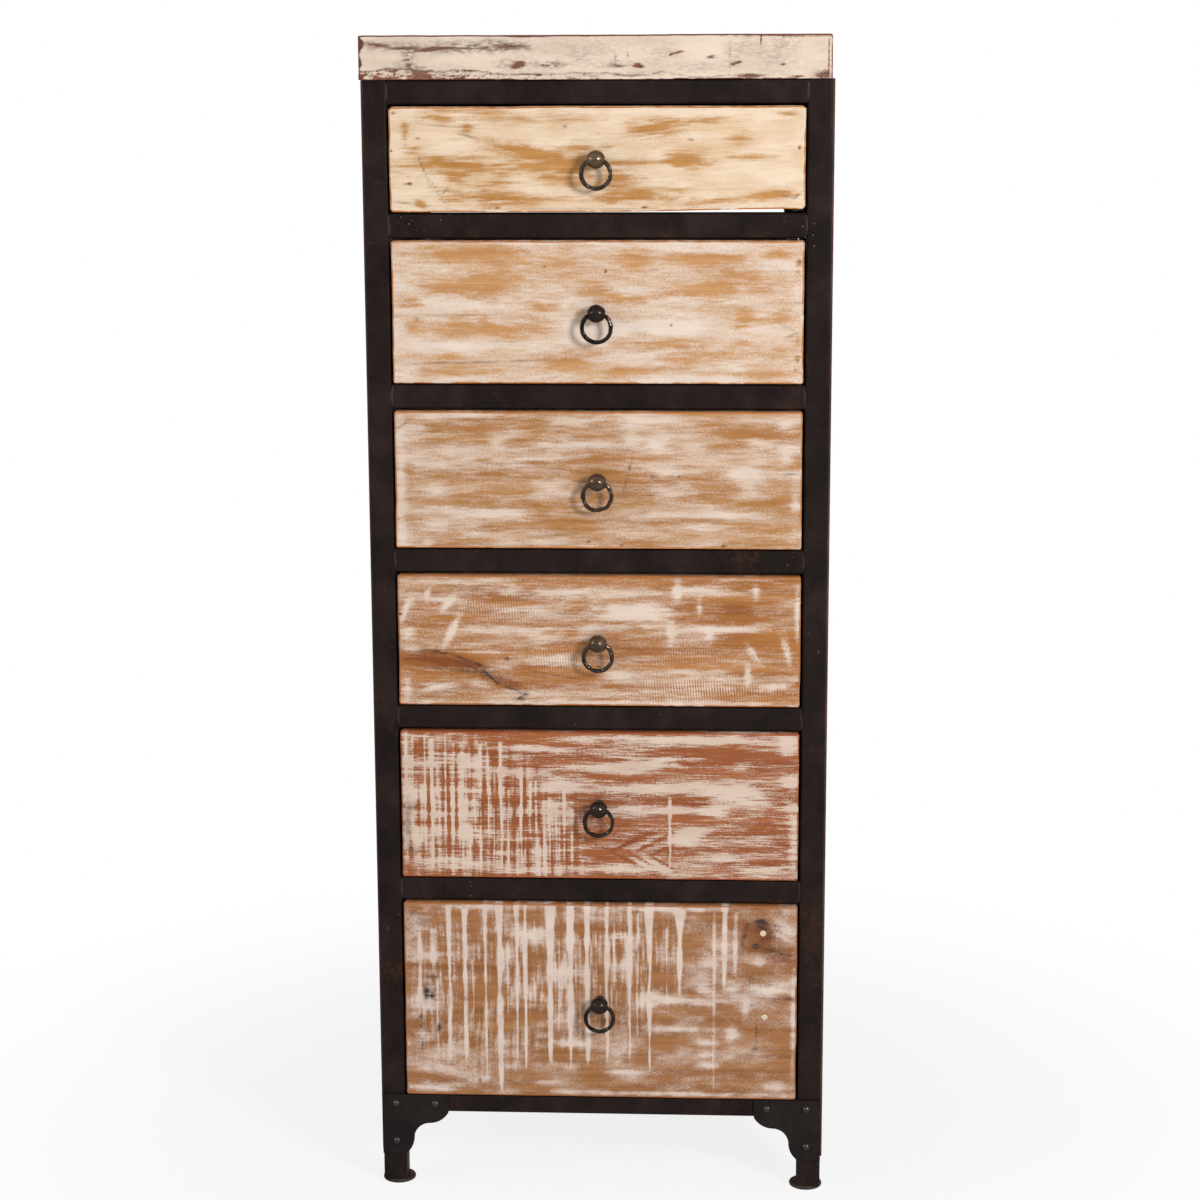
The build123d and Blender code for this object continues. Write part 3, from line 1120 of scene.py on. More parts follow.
    def carve(self, box: WornBox, lime: Array) -> None:
        """Gives the face its relief: the plank's own waves, its raised grain and the lime's thickness.

        Args:
            box: The board.
            lime: The lime on it.
        """
        wave = box.cloud.layered(box.across / 75, box.down / 60, 3) - 0.5
        grain = box.cloud.layered(box.across / 30, box.down / 2.2, 3) - 0.5
        height = 0.5 * wave + 0.16 * grain + 0.12 * ease(0.35, 0.65, lime)
        box.points[:, 1] -= MM * height * box.front * ease(0.5, 3.0, box.edge / MM)


HONEY = dict(deep=tint(150, 92, 40), worn=tint(186, 116, 58), stain=tint(74, 56, 44))

FRONTS: tuple[DrawerFront, ...] = (
    DrawerFront(
        1,
        pull=PullFinish.BRONZE,
        finish=LimedWood(
            "front_1_ivory",
            dark=tint(180, 124, 62), light=tint(198, 144, 82), lime=tint(241, 220, 194),
            lime_shade=tint(228, 199, 165), break_up=(36.0, 200.0, 460.0), ragged=1.2, dusty=0.6,
            crisp=0.46, pore_depth=0.35,
            **HONEY,
        ),
        grid=Grid.ACROSS, base=0.88, clouds=0.36, cloud_size=(70, 9),
        strokes=marks(
            Stroke,
            (12, 11, 24.6, 6.8, -0.75, -8), (20, 4, 37, 4.1, -0.57), (26, 11, 33.6, 5.4, -0.46),
            (19, 20, 6.7, 5.4, -0.63), (4, 25, 4.5, 12.2, -0.63), (6, 40, 9, 4.1, -0.69),
            (16.5, 56, 62.7, 10.8, -0.92), (16, 68, 12.3, 6.8, -0.57), (26, 73, 17.9, 4.7, -0.57),
            (24, 86, 47, 8.1, -0.92), (35, 87.5, 28, 4.1, -0.57), (30, 39, 30, 6.8, -0.85, -12),
            (38, 47, 28, 5.4, -0.4, -8), (46.5, 39, 30, 6.4, -0.72), (42.5, 55, 39.2, 9.5, -0.75),
            (45.5, 69, 24.6, 13.5, -0.57), (56, 69, 19, 13.5, -0.69), (64, 20, 31.4, 8.8, -0.92, 6),
            (76, 13, 28, 4.1, -0.69, 4), (72, 52, 20.2, 10.8, -0.92), (61, 53, 50.4, 3.4, -0.63),
            (84.5, 31, 13.4, 6.8, -0.69), (87, 49, 24.6, 3.4, -0.63), (59, 86, 44.8, 6.8, -0.86),
            (80, 91, 50.4, 5.4, -0.75, 4), (93, 85, 17.9, 6.1, -0.8, 6), (38, 67, 9, 2.7, -0.63),
            (95.5, 8, 11.2, 2.7, -0.57), (7.5, 93, 7.8, 4.1, -0.8, -25), (70, 80, 56, 2.7, -0.4),
            (44, 12, 44.8, 5.4, -0.4),
        ),
        soiled=marks(
            Stroke,
            (8, 56, 18, 0.8, 0.7, -68), (11.5, 80, 20, 0.7, 0.5, -60), (13.5, 80, 6, 0.9, 0.8, 48),
            (18.5, 27, 10, 0.9, 0.7, -16), (22, 32, 12, 0.8, 0.5, -20), (16, 19, 40, 0.8, 0.45, -3),
            (72.5, 32, 3.4, 0.9, 0.9, -8), (42.5, 19, 2, 1.6, 0.8), (96, 88, 9, 0.9, 0.8, -10),
            (98, 87, 5, 1.0, 0.7, 40), (45, 97, 120, 0.8, 0.5), (3, 91, 9, 0.9, 0.8, -6),
        ),
        nicks=marks(
            Nick,
            (4.7, 73, 4.5, 1.8, 1.0), (0.6, 42, 2, 1.2, 0.5), (26, 96, 3, 1.2, 0.4),
            (1.2, 6, 2.2, 2.0, 0.7), (7, 30, 1.6, 1.6, 0.4), (61.5, 96, 4, 1.1, 0.5),
            (98.6, 40, 1.6, 2.0, 0.5),
        ),
        arris=2.4, corner=4.5, warp=2.7,
    ),
    DrawerFront(
        2,
        finish=LimedWood(
            "front_2_clouded",
            dark=tint(188, 134, 80), light=tint(205, 154, 102), lime=tint(235, 218, 204),
            lime_shade=tint(226, 206, 187), break_up=(56.0, 200.0, 330.0), ragged=1.1, dusty=0.9,
            crisp=0.47, pore_depth=0.34,
            **HONEY,
        ),
        grid=Grid.ACROSS, base=0.62, clouds=0.6, cloud_size=(48, 10),
        strokes=marks(
            Stroke,
            (20, 10, 72, 9, -0.5), (38, 18, 55, 12, -0.4), (21, 31, 47, 11, -0.55),
            (59, 12, 22, 13, -0.5), (76, 13, 38, 9, -0.5), (94, 9, 20, 5, -0.5), (86, 23, 22, 7, -0.5),
            (36, 45, 16, 7, -0.5), (50, 37, 19, 11, -0.45), (20, 59, 44, 11, -0.55),
            (5, 45, 14, 5, -0.45), (5, 60, 10, 8, -0.45), (27, 65, 25, 7, -0.45),
            (57, 41, 30, 6, -0.45), (77, 35, 36, 11, -0.5), (86, 54, 16, 13, -0.5),
            (95, 51, 16, 16, -0.45), (85.5, 71, 11, 4, -0.5), (66, 73, 40, 5, -0.5),
            (76, 79, 42, 7, -0.45), (94, 78, 22, 10, -0.4), (14, 81, 10, 4, -0.5),
            (42, 86, 22, 7, -0.5), (55, 93, 25, 7, -0.55), (14, 93, 55, 5, -0.4),
            (86, 93, 35, 4, -0.45), (17, 43, 40, 5, 0.35), (62, 61, 60, 8, 0.35), (15, 74, 60, 5, 0.35),
            (30, 1, 120, 2, 0.4), (70, 98, 60, 2.5, 0.4),
        ),
        soiled=marks(
            Stroke,
            (20, 85, 75, 1.1, 0.55, 1.6), (14, 52, 60, 0.9, 0.4), (6, 55, 1.4, 1.4, 1.0),
            (96, 60, 10, 0.9, 0.6, -28), (97, 66, 9, 0.9, 0.6, 30), (97.5, 43, 12, 0.8, 0.5),
        ),
        nicks=marks(
            Nick,
            (98.8, 15, 3.4, 5, 1.1, 0.5), (98.6, 22, 3, 2.4, 0.9, 0.35), (98.5, 52, 3.4, 5, 1.0, 0.1),
            (98.7, 69, 3, 8, 1.0, 0.15), (98.6, 83, 3.2, 4.4, 1.0, 0.45),
            (98.2, 90, 1.6, 1.6, 0.7, 0.6), (52, 21, 1.4, 2, 0.3), (37.4, 18, 1.4, 1.6, 0.4),
            (68, 59, 1.3, 1.3, 0.4),
        ),
    ),
    DrawerFront(
        3,
        pull=PullFinish.BRONZE,
        finish=LimedWood(
            "front_3_streaked",
            dark=tint(163, 108, 54), light=tint(184, 131, 75), lime=tint(230, 210, 195),
            lime_shade=tint(218, 195, 175), break_up=(48.0, 200.0, 360.0), ragged=1.1, dusty=0.85,
            crisp=0.47, pore_depth=0.34,
            **HONEY,
        ),
        grid=Grid.ACROSS, base=0.4, clouds=0.72, cloud_size=(52, 8),
        strokes=marks(
            Stroke,
            (1.4, 55, 5, 70, 0.6), (4, 12, 16, 6, 0.5), (20, 3, 55, 3, 0.55), (25.5, 22, 13, 7, 0.6),
            (7, 37, 16, 9, 0.45), (16, 30, 36, 8, 0.4), (44, 7, 30, 8, 0.35), (66, 6, 70, 4.5, 0.5),
            (65, 22, 12, 10, 0.7), (73, 26, 14, 6, 0.45), (58.5, 18, 9, 9, 0.5), (44, 24, 60, 3, 0.5),
            (35, 34, 47, 3, 0.5), (67, 44, 34, 4, 0.55), (86, 44, 22, 7, 0.5), (89, 21, 14, 5, 0.5),
            (96, 33, 8, 8, 0.5), (87, 55, 11, 7, 0.5), (96, 10, 11, 7, 0.5), (98.5, 65, 6, 22, 0.5),
            (9.5, 56, 14, 11, 0.45), (39, 58, 25, 11, 0.3), (69, 58, 28, 9, 0.4), (13, 72, 25, 4, 0.3),
            (26, 75, 34, 6, 0.35), (11, 85, 17, 8, 0.5), (19, 87, 16, 6, 0.45), (71, 75, 55, 4, 0.4),
            (83, 76, 40, 4, 0.4), (77, 85, 34, 7, 0.4), (35, 96, 42, 4, 0.45), (8, 96, 6, 3, 0.6),
            (20, 14, 40, 9, -0.4), (85, 15, 40, 8, -0.3), (52, 47, 55, 8, -0.35), (28, 50, 40, 6, -0.3),
            (88, 66, 40, 5, -0.35), (45, 83, 35, 9, -0.3),
        ),
        soiled=marks(
            Stroke,
            (58, 40, 11, 1.0, 0.9, 78), (56.8, 52, 9, 0.9, 0.6, 74), (63.5, 47, 2.4, 1.4, 1.0),
            (70, 47, 1.8, 1.6, 0.8), (97, 45, 10, 0.9, 0.9), (2, 10, 8, 1.0, 0.6, 30),
            (40, 90, 20, 1.2, 0.5, 4),
        ),
        nicks=marks(
            Nick,
            (47.7, 95, 2.4, 1.3, 0.7, 0.9), (80.8, 98.5, 2.2, 2.0, 0.9, 0.9),
            (55.8, 97.5, 1.5, 1.5, 0.5), (44.5, 85, 6, 0.8, 0.35, 0.25), (41, 86.5, 6, 0.7, 0.35, 0.2),
            (46, 83.5, 1.2, 3.5, 0.35, 0.25),
        ),
    ),
    DrawerFront(
        4,
        pull=PullFinish.BRONZE,
        finish=LimedWood(
            "front_4_sawn",
            dark=tint(154, 94, 42), light=tint(182, 122, 62), deep=tint(128, 68, 28),
            lime=tint(231, 212, 196), lime_shade=tint(221, 199, 180), worn=tint(172, 104, 52),
            stain=tint(66, 44, 34), break_up=(42.0, 200.0, 380.0), ragged=1.0, dusty=0.8, crisp=0.4,
            pore_depth=0.32, smear=(110.0, 200.0, 420.0), smear_edge=(0.34, 0.6),
        ),
        grid=Grid.ACROSS, base=0.29, clouds=0.5, cloud_size=(60, 9),
        strokes=marks(
            Stroke,
            (13.5, 42, 20, 3.2, 0.8, 63), (12.5, 22, 11, 3.0, 0.7, 50), (7.5, 15, 7, 2.4, 0.6, 78),
            (11.5, 19, 14, 2.4, 0.5), (2, 27, 14, 4, 0.6, 68), (2.5, 45, 8, 6, 0.6),
            (3.5, 57, 10, 2.5, 0.7), (15, 5, 60, 4, 0.5), (30, 12, 40, 5, 0.4), (44, 13, 55, 7, 0.55),
            (35, 26, 34, 8, 0.4), (28, 42, 70, 5, 0.55), (38, 48, 34, 5, 0.5), (58, 25, 42, 12, 0.65),
            (61, 31, 28, 8, 0.5), (56, 39, 48, 3, 0.55), (47.5, 43, 13, 7, 0.45),
            (69.5, 11, 4, 10, 0.7), (76, 10, 26, 6, 0.55), (89, 12, 3.5, 9, 0.6), (68, 44, 5, 11, 0.6),
            (80, 41, 45, 3.5, 0.55), (77.5, 45, 5, 8, 0.45), (75, 24, 3.5, 9, 0.5),
            (88, 57, 13, 3.2, 0.7, -58), (96.5, 55, 15, 4, 0.65, -76), (99.2, 30, 2.4, 26, 0.6),
            (87, 76, 3, 12, 0.65), (93.5, 85, 3.5, 13, 0.75, 96), (22, 59, 28, 2, 0.6),
            (38, 65, 28, 10, 0.35), (26, 71, 18, 7, 0.3), (10, 86, 24, 4.5, 0.55, 12),
            (20, 84, 14, 4, 0.4, -18), (55, 76, 16, 7, 0.5), (74, 73, 30, 4, 0.5),
            (74, 83, 68, 9, 0.42), (50, 91, 95, 7, 0.42), (50, 98, 190, 3, 0.6), (2, 88, 5, 16, 0.5),
            (85, 27, 22, 8, -0.35), (88, 48, 20, 6, -0.3), (33, 10, 14, 4, -0.35),
            (12, 66, 44, 7, -0.5),
        ),
        sawn=marks(
            Stroke,
            (25, 27, 45, 16, 0.7), (40, 66, 40, 18, 0.6), (72, 60, 55, 12, 0.5), (76, 88, 85, 14, 1.0),
        ),
        toned=marks(
            Stroke,
            (10, 66, 42, 9, 1.3, -8), (21, 75, 24, 5, 1.1, -22), (28, 84, 20, 5, 0.8, -30),
            (12, 90, 30, 6, 0.4), (85, 26, 24, 8, 0.5),
        ),
        soiled=marks(
            Stroke,
            (9, 59, 26, 1.2, 1.7, -9), (17.5, 66, 18, 1.3, 1.7, -20), (13, 73, 34, 1.1, 0.9, -5),
            (19.5, 73, 22, 1.0, 0.9, -24), (22.5, 77, 18, 1.3, 1.6, -44), (28.5, 88, 16, 1.8, 1.5, -24),
            (31, 94, 8, 3.0, 1.2, 40), (27, 64, 2.4, 1.8, 1.2), (38, 76, 34, 1.0, 0.6, -10),
        ),
        nicks=marks(Nick, (0.6, 30, 2.2, 1.6, 0.7), (99.4, 82, 1.6, 2, 0.6)),
    ),
    DrawerFront(
        5,
        finish=LimedWood(
            "front_5_kerfed",
            dark=tint(140, 72, 34), light=tint(168, 98, 52), deep=tint(112, 50, 22),
            lime=tint(225, 203, 186), lime_shade=tint(214, 190, 170), worn=tint(160, 82, 40),
            stain=tint(88, 68, 56), break_up=(44.0, 200.0, 720.0), ragged=1.9, dusty=0.9, crisp=0.3,
            pore_depth=0.4,
        ),
        grid=Grid.UPRIGHT, base=0.33, clouds=0.7, cloud_size=(60, 4.5),
        strokes=marks(
            Stroke,
            (17, 22, 15, 12, 0.5), (16, 48, 16, 22, 0.5), (17, 72, 20, 8, 0.55), (4, 45, 18, 12, 0.4),
            (4, 72, 16, 10, 0.5), (10, 56, 26, 5, 0.4), (4, 22, 22, 6, 0.5), (25, 27, 30, 10, 0.35),
            (34, 85, 30, 12, 0.45), (38, 36, 28, 8, 0.45), (38, 52, 30, 10, 0.4), (63, 21, 44, 6, 0.7),
            (53, 24, 34, 5, 0.5), (44, 36, 30, 9, 0.4), (71, 38, 60, 6, 0.7), (84, 41, 34, 7, 0.6),
            (79, 53, 13, 8, 0.7), (87, 48, 34, 4, 0.5), (76, 5, 70, 5, 0.6), (35, 11, 36, 3, 0.55),
            (29, 17, 30, 3, 0.4), (58, 4, 80, 3, 0.5), (66, 53, 22, 6, 0.5), (71.5, 73, 14, 8, 0.7),
            (74, 68, 14, 6, 0.5), (81, 85, 26, 8, 0.5), (92, 93, 32, 5, 0.5), (97, 10, 11, 12, 0.7),
            (98, 33, 9, 10, 0.6), (98, 50, 9, 8, 0.6), (99, 75, 5, 28, 0.6), (64, 91, 20, 5, 0.5, -20),
            (63, 73, 17, 3, 0.45, 22), (57, 70, 18, 3, 0.4, 10), (62, 84, 18, 4, 0.45, -8),
            (55, 94, 60, 4, 0.5), (58, 50, 18, 7, 0.35), (84, 15, 55, 8, -0.3), (52, 30, 50, 4, -0.35),
            (93, 64, 20, 8, -0.35), (57, 76, 18, 1.5, -0.7, 27), (57, 87, 20, 1.5, -0.7, -27),
            (61.5, 78, 16, 1.4, -0.7, 27), (61.5, 88, 17, 1.4, -0.7, -30), (66, 80, 12, 1.4, -0.7, 28),
            (66, 89, 13, 1.4, -0.7, -32), (12, 91, 60, 8, 0.4), (34, 95, 60, 5, 0.4),
            (78, 97, 90, 3, 0.35),
        ),
        lines=marks(
            Line,
            (1.5, 3, 0, 100, 0.5), (3, 2, 4, 96, 0.4), (6, 2.4, 3, 60, 0.55), (7.7, 4, 6, 100, 0.7),
            (11.3, 2, 3, 100, 0.8), (13.5, 2.2, 8, 80, 0.4), (15.3, 3, 8, 100, 0.35),
            (17.3, 2, 10, 100, 0.45), (20, 3.2, 10, 100, 0.75), (22, 2.4, 12, 70, 0.5),
            (23.5, 1.6, 30, 100, 0.4), (25.2, 2.2, 8, 100, 0.8), (27, 1.8, 40, 100, 0.5),
            (30.3, 3, 25, 100, 0.8), (32.5, 2.2, 36, 90, 0.5), (34, 2.4, 34, 100, 0.55),
            (36, 1.6, 55, 96, 0.45), (37.5, 2.2, 45, 100, 0.6), (39, 2.0, 50, 100, 0.5),
            (41.2, 2.2, 40, 98, 0.6), (43, 1.6, 70, 100, 0.5), (67.8, 2.4, 46, 100, 0.9),
        ),
        bars=marks(Stroke, (8, 55, 60, 75, 0.9), (26, 62, 50, 60, 0.9), (38, 78, 34, 40, 0.8)),
        bar_size=(3.6, 75.0),
        toned=marks(
            Stroke,
            (57, 76, 18, 0.8, 0.9, 27), (57, 87, 20, 0.8, 0.9, -27), (65, 80, 12, 0.7, 0.8, 28),
            (65, 88, 13, 0.7, 0.8, -32),
        ),
        soiled=marks(Stroke, (1.5, 62, 4, 30, 0.6), (3, 52, 5, 4, 0.5), (2.5, 82, 5, 6, 0.5)),
        nicks=marks(
            Nick,
            (67.5, 82, 1.6, 4, 0.5, 0.5), (99.2, 33, 1.8, 2.4, 0.7, 0.1), (98.8, 54, 2, 2, 0.7, 0.1),
        ),
    ),
    DrawerFront(
        6,
        finish=LimedWood(
            "front_6_dripped",
            dark=tint(144, 91, 48), light=tint(172, 119, 72), deep=tint(106, 54, 28),
            lime=tint(231, 212, 199), lime_shade=tint(219, 197, 183), worn=tint(164, 100, 54),
            stain=tint(60, 44, 38), break_up=(60.0, 200.0, 180.0), ragged=0.6, dusty=0.7, crisp=0.36,
        ),
        grid=Grid.UPRIGHT, base=0.3, clouds=0.55, cloud_size=(34, 14),
        strokes=marks(
            Stroke,
            (7, 28, 26, 7, 0.5), (40, 36, 22, 11, 0.6), (32, 16, 18, 8, 0.5), (55, 16, 20, 4, 0.5),
            (74, 49, 54, 5, 0.6), (71, 64, 32, 3.5, 0.5), (95, 43, 24, 7, 0.65), (40, 59, 18, 8, 0.5),
            (42, 72, 26, 6, 0.5), (55, 77, 18, 10, 0.45, 25), (10, 87, 30, 6, 0.5, -10),
            (56, 87, 20, 3, 0.5), (19, 92, 12, 6, 0.5), (35, 93, 18, 3, 0.5), (7, 96, 36, 5, 0.6),
            (60, 98, 150, 2.5, 0.55), (19, 2, 34, 3, 0.7), (68, 2, 70, 3, 0.6), (77.5, 71, 11, 4, 0.55),
            (77.5, 77, 11, 3, 0.45), (77.5, 83, 11, 4, 0.55), (83.5, 66, 7, 10, 0.6),
            (76.5, 43, 10, 6, 0.5), (83.5, 43, 9, 7, 0.45), (77.5, 28, 11, 8, 0.4), (90, 29, 9, 4, 0.6),
            (87, 54, 4, 8, 0.5), (97, 12, 14, 12, 0.35, -30), (5, 52, 18, 22, 0.35),
            (4, 70, 16, 10, 0.4), (12, 75, 22, 9, 0.35, 30), (61, 50, 14, 8, 0.5, 35),
            (66, 20, 12, 14, 0.3), (95, 93, 18, 4, 0.5), (99.2, 60, 3, 60, 0.5),
            (3, 12, 10, 9, 0.35, 40), (90.5, 15, 14, 14, -0.45),
        ),
        lines=marks(
            Line,
            (4, 3, 16, 80, 0.5), (7.5, 6, 14, 40, 0.5), (8.5, 2, 40, 90, 0.45),
            (11.5, 4.2, 2, 84, 0.85), (15.5, 5.2, 4, 86, 0.85), (17.5, 1.6, 30, 70, 0.4),
            (20.8, 3.4, 0, 92, 0.6), (24.4, 6.4, 0, 100, 0.9), (26.4, 1.6, 20, 66, 0.4),
            (28.8, 3.2, 0, 84, 0.65), (31, 3.6, 0, 90, 0.85), (33.2, 1.8, 10, 50, 0.4),
            (37.4, 6.0, 0, 86, 0.85), (39.4, 1.8, 20, 70, 0.4), (42.4, 6.4, 0, 86, 0.9),
            (46.8, 6.0, 0, 86, 0.9), (49, 2, 14, 50, 0.4), (51.8, 4.6, 0, 84, 0.85),
            (53.6, 1.6, 10, 40, 0.45), (57.6, 4.2, 0, 84, 0.8), (59.6, 1.6, 4, 80, 0.45),
            (62.6, 4.2, 0, 88, 0.95), (64.4, 1.4, 10, 60, 0.35), (67, 1.6, 12, 56, 0.4),
            (70.2, 6.6, 3, 50, 0.9), (79, 3, 4, 100, 0.3), (81.6, 5.4, 0, 46, 0.75),
            (84.4, 4, 4, 40, 0.4),
        ),
        bars=marks(Stroke, (20, 45, 95, 80, 0.5), (50, 35, 70, 60, 0.5), (60, 25, 40, 40, 0.4)),
        bar_size=(2.4, 26.0),
        toned=marks(
            Stroke,
            (92, 15, 26, 16, 1.0, 20), (86.5, 16, 3, 18, 0.9, -12), (88.4, 46, 3.5, 16, 1.5),
            (95, 47.5, 22, 1.6, 1.4, 3), (89.8, 65, 1.2, 10, 1.4), (96, 26, 24, 10, 0.6, -12),
            (3, 9, 9, 12, 0.9, 30), (5.5, 49, 5, 12, 1.4),
        ),
        soiled=marks(
            Stroke,
            (5.5, 47, 3.4, 8, 1.3), (7, 48, 2.6, 8, 1.1), (4, 62, 1.2, 16, 1.0), (8.6, 65, 2.4, 6, 1.2),
            (7, 38.5, 9, 1.4, 1.2), (4.2, 74, 1.2, 7, 1.3), (91, 8.5, 7, 5, 1.7, -20),
            (89.6, 20.5, 4.5, 3, 1.7), (89.5, 73.5, 5, 1.5, 1.5), (96, 24, 22, 1.2, 0.9, -14),
            (97, 48, 14, 1.0, 1.0, 3),
        ),
        nicks=marks(
            Nick,
            (91.3, 14, 4, 4, 0.5, 0.5), (91.7, 57, 4, 4, 0.5, 0.5), (19, 92.5, 2, 3, 0.4, 0.4),
        ),
    ),
)


@dataclass
class NailHeads:
    """Two old nail heads in the lowest front.

    Their places are in hundredths of the front. The profile pairs a share of the radius with a depth in
    millimetres.
    """

    drawer: int = 6
    radius: float = 3.4
    places: tuple[Pair, ...] = ((91.3, 14.0), (91.8, 57.0))
    crown: float = -0.55
    profile: tuple[Pair, ...] = ((0.45, -0.6), (0.8, -0.45), (1.0, -0.1), (1.02, 0.7))
    turns: int = 18
    seed: int = 70
    crease: float = 60.0
    finish: Iron = Iron("nail_iron", tint(196, 172, 146), tint(232, 212, 188), tint(122, 84, 58), 0.4, 0.5)

    def build(self) -> bpy.types.Object:
        """Builds both heads as one piece.

        Returns:
            The piece.
        """
        low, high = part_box(f"drawer_{self.drawer}_front")
        points, faces, rings = [], [], len(self.profile)
        for number, (across, down) in enumerate(self.places):
            x = low[0] + across / 100 * (high[0] - low[0])
            z = high[2] - down / 100 * (high[2] - low[2])
            grid = np.arange(rings * self.turns).reshape(rings, self.turns) + len(points)
            points += self.head(x, low[1], z, Cloud(self.seed + number))
            faces += [quads(looped(grid), False), fan(len(points) - 1, grid[0]), grid[-1:, ::-1]]
        made = make_object("drawer_6_nail_heads", np.array(points), faces, self.crease)
        made.data.materials.append(self.finish.make())
        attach(made, f"drawer_{self.drawer}")
        return made

    def head(self, x: float, y: float, z: float, dents: Cloud) -> list[Triple]:
        """One head.

        Args:
            x: Its middle.
            y: The face of the front.
            z: Its middle.
            dents: Noise that sets its dents.

        Returns:
            Points in rings from the crown outward, then the crown's middle.
        """
        points = []
        for reach, depth in self.profile:
            for turn in range(self.turns):
                angle = 2 * math.pi * turn / self.turns
                beat = float(dents.plain(np.array(turn / 3.0), np.array(reach * 2)))
                radius = self.radius * reach * (0.93 + 0.12 * beat)
                height = depth + 0.25 * (beat - 0.5)
                side, rise = MM * radius * math.cos(angle), MM * radius * math.sin(angle)
                points.append((x + side, y + MM * height, z + rise))
        return [*points, (x, y + MM * self.crown, z)]


@dataclass
class DrawerBoxes:
    """The sides, backs and bottoms behind the fronts."""

    count: int = 6
    dark: Colour = tint(150, 104, 62)
    light: Colour = tint(196, 152, 102)

    def build(self) -> list[str]:
        """Dresses the solids.

        Returns:
            Names of the solids.
        """
        along = RawWood("box_wood_long", self.dark, self.light, (90.0, 4.0, 110.0)).make()
        across = RawWood("box_wood_wide", self.dark, self.light, (4.0, 90.0, 110.0)).make()
        dressed = []
        for place in range(1, self.count + 1):
            for part, material in (("sides", along), ("back", across), ("bottom", along)):
                dressed.append(f"drawer_{place}_{part}")
                dress(dressed[-1], material)
        return dressed


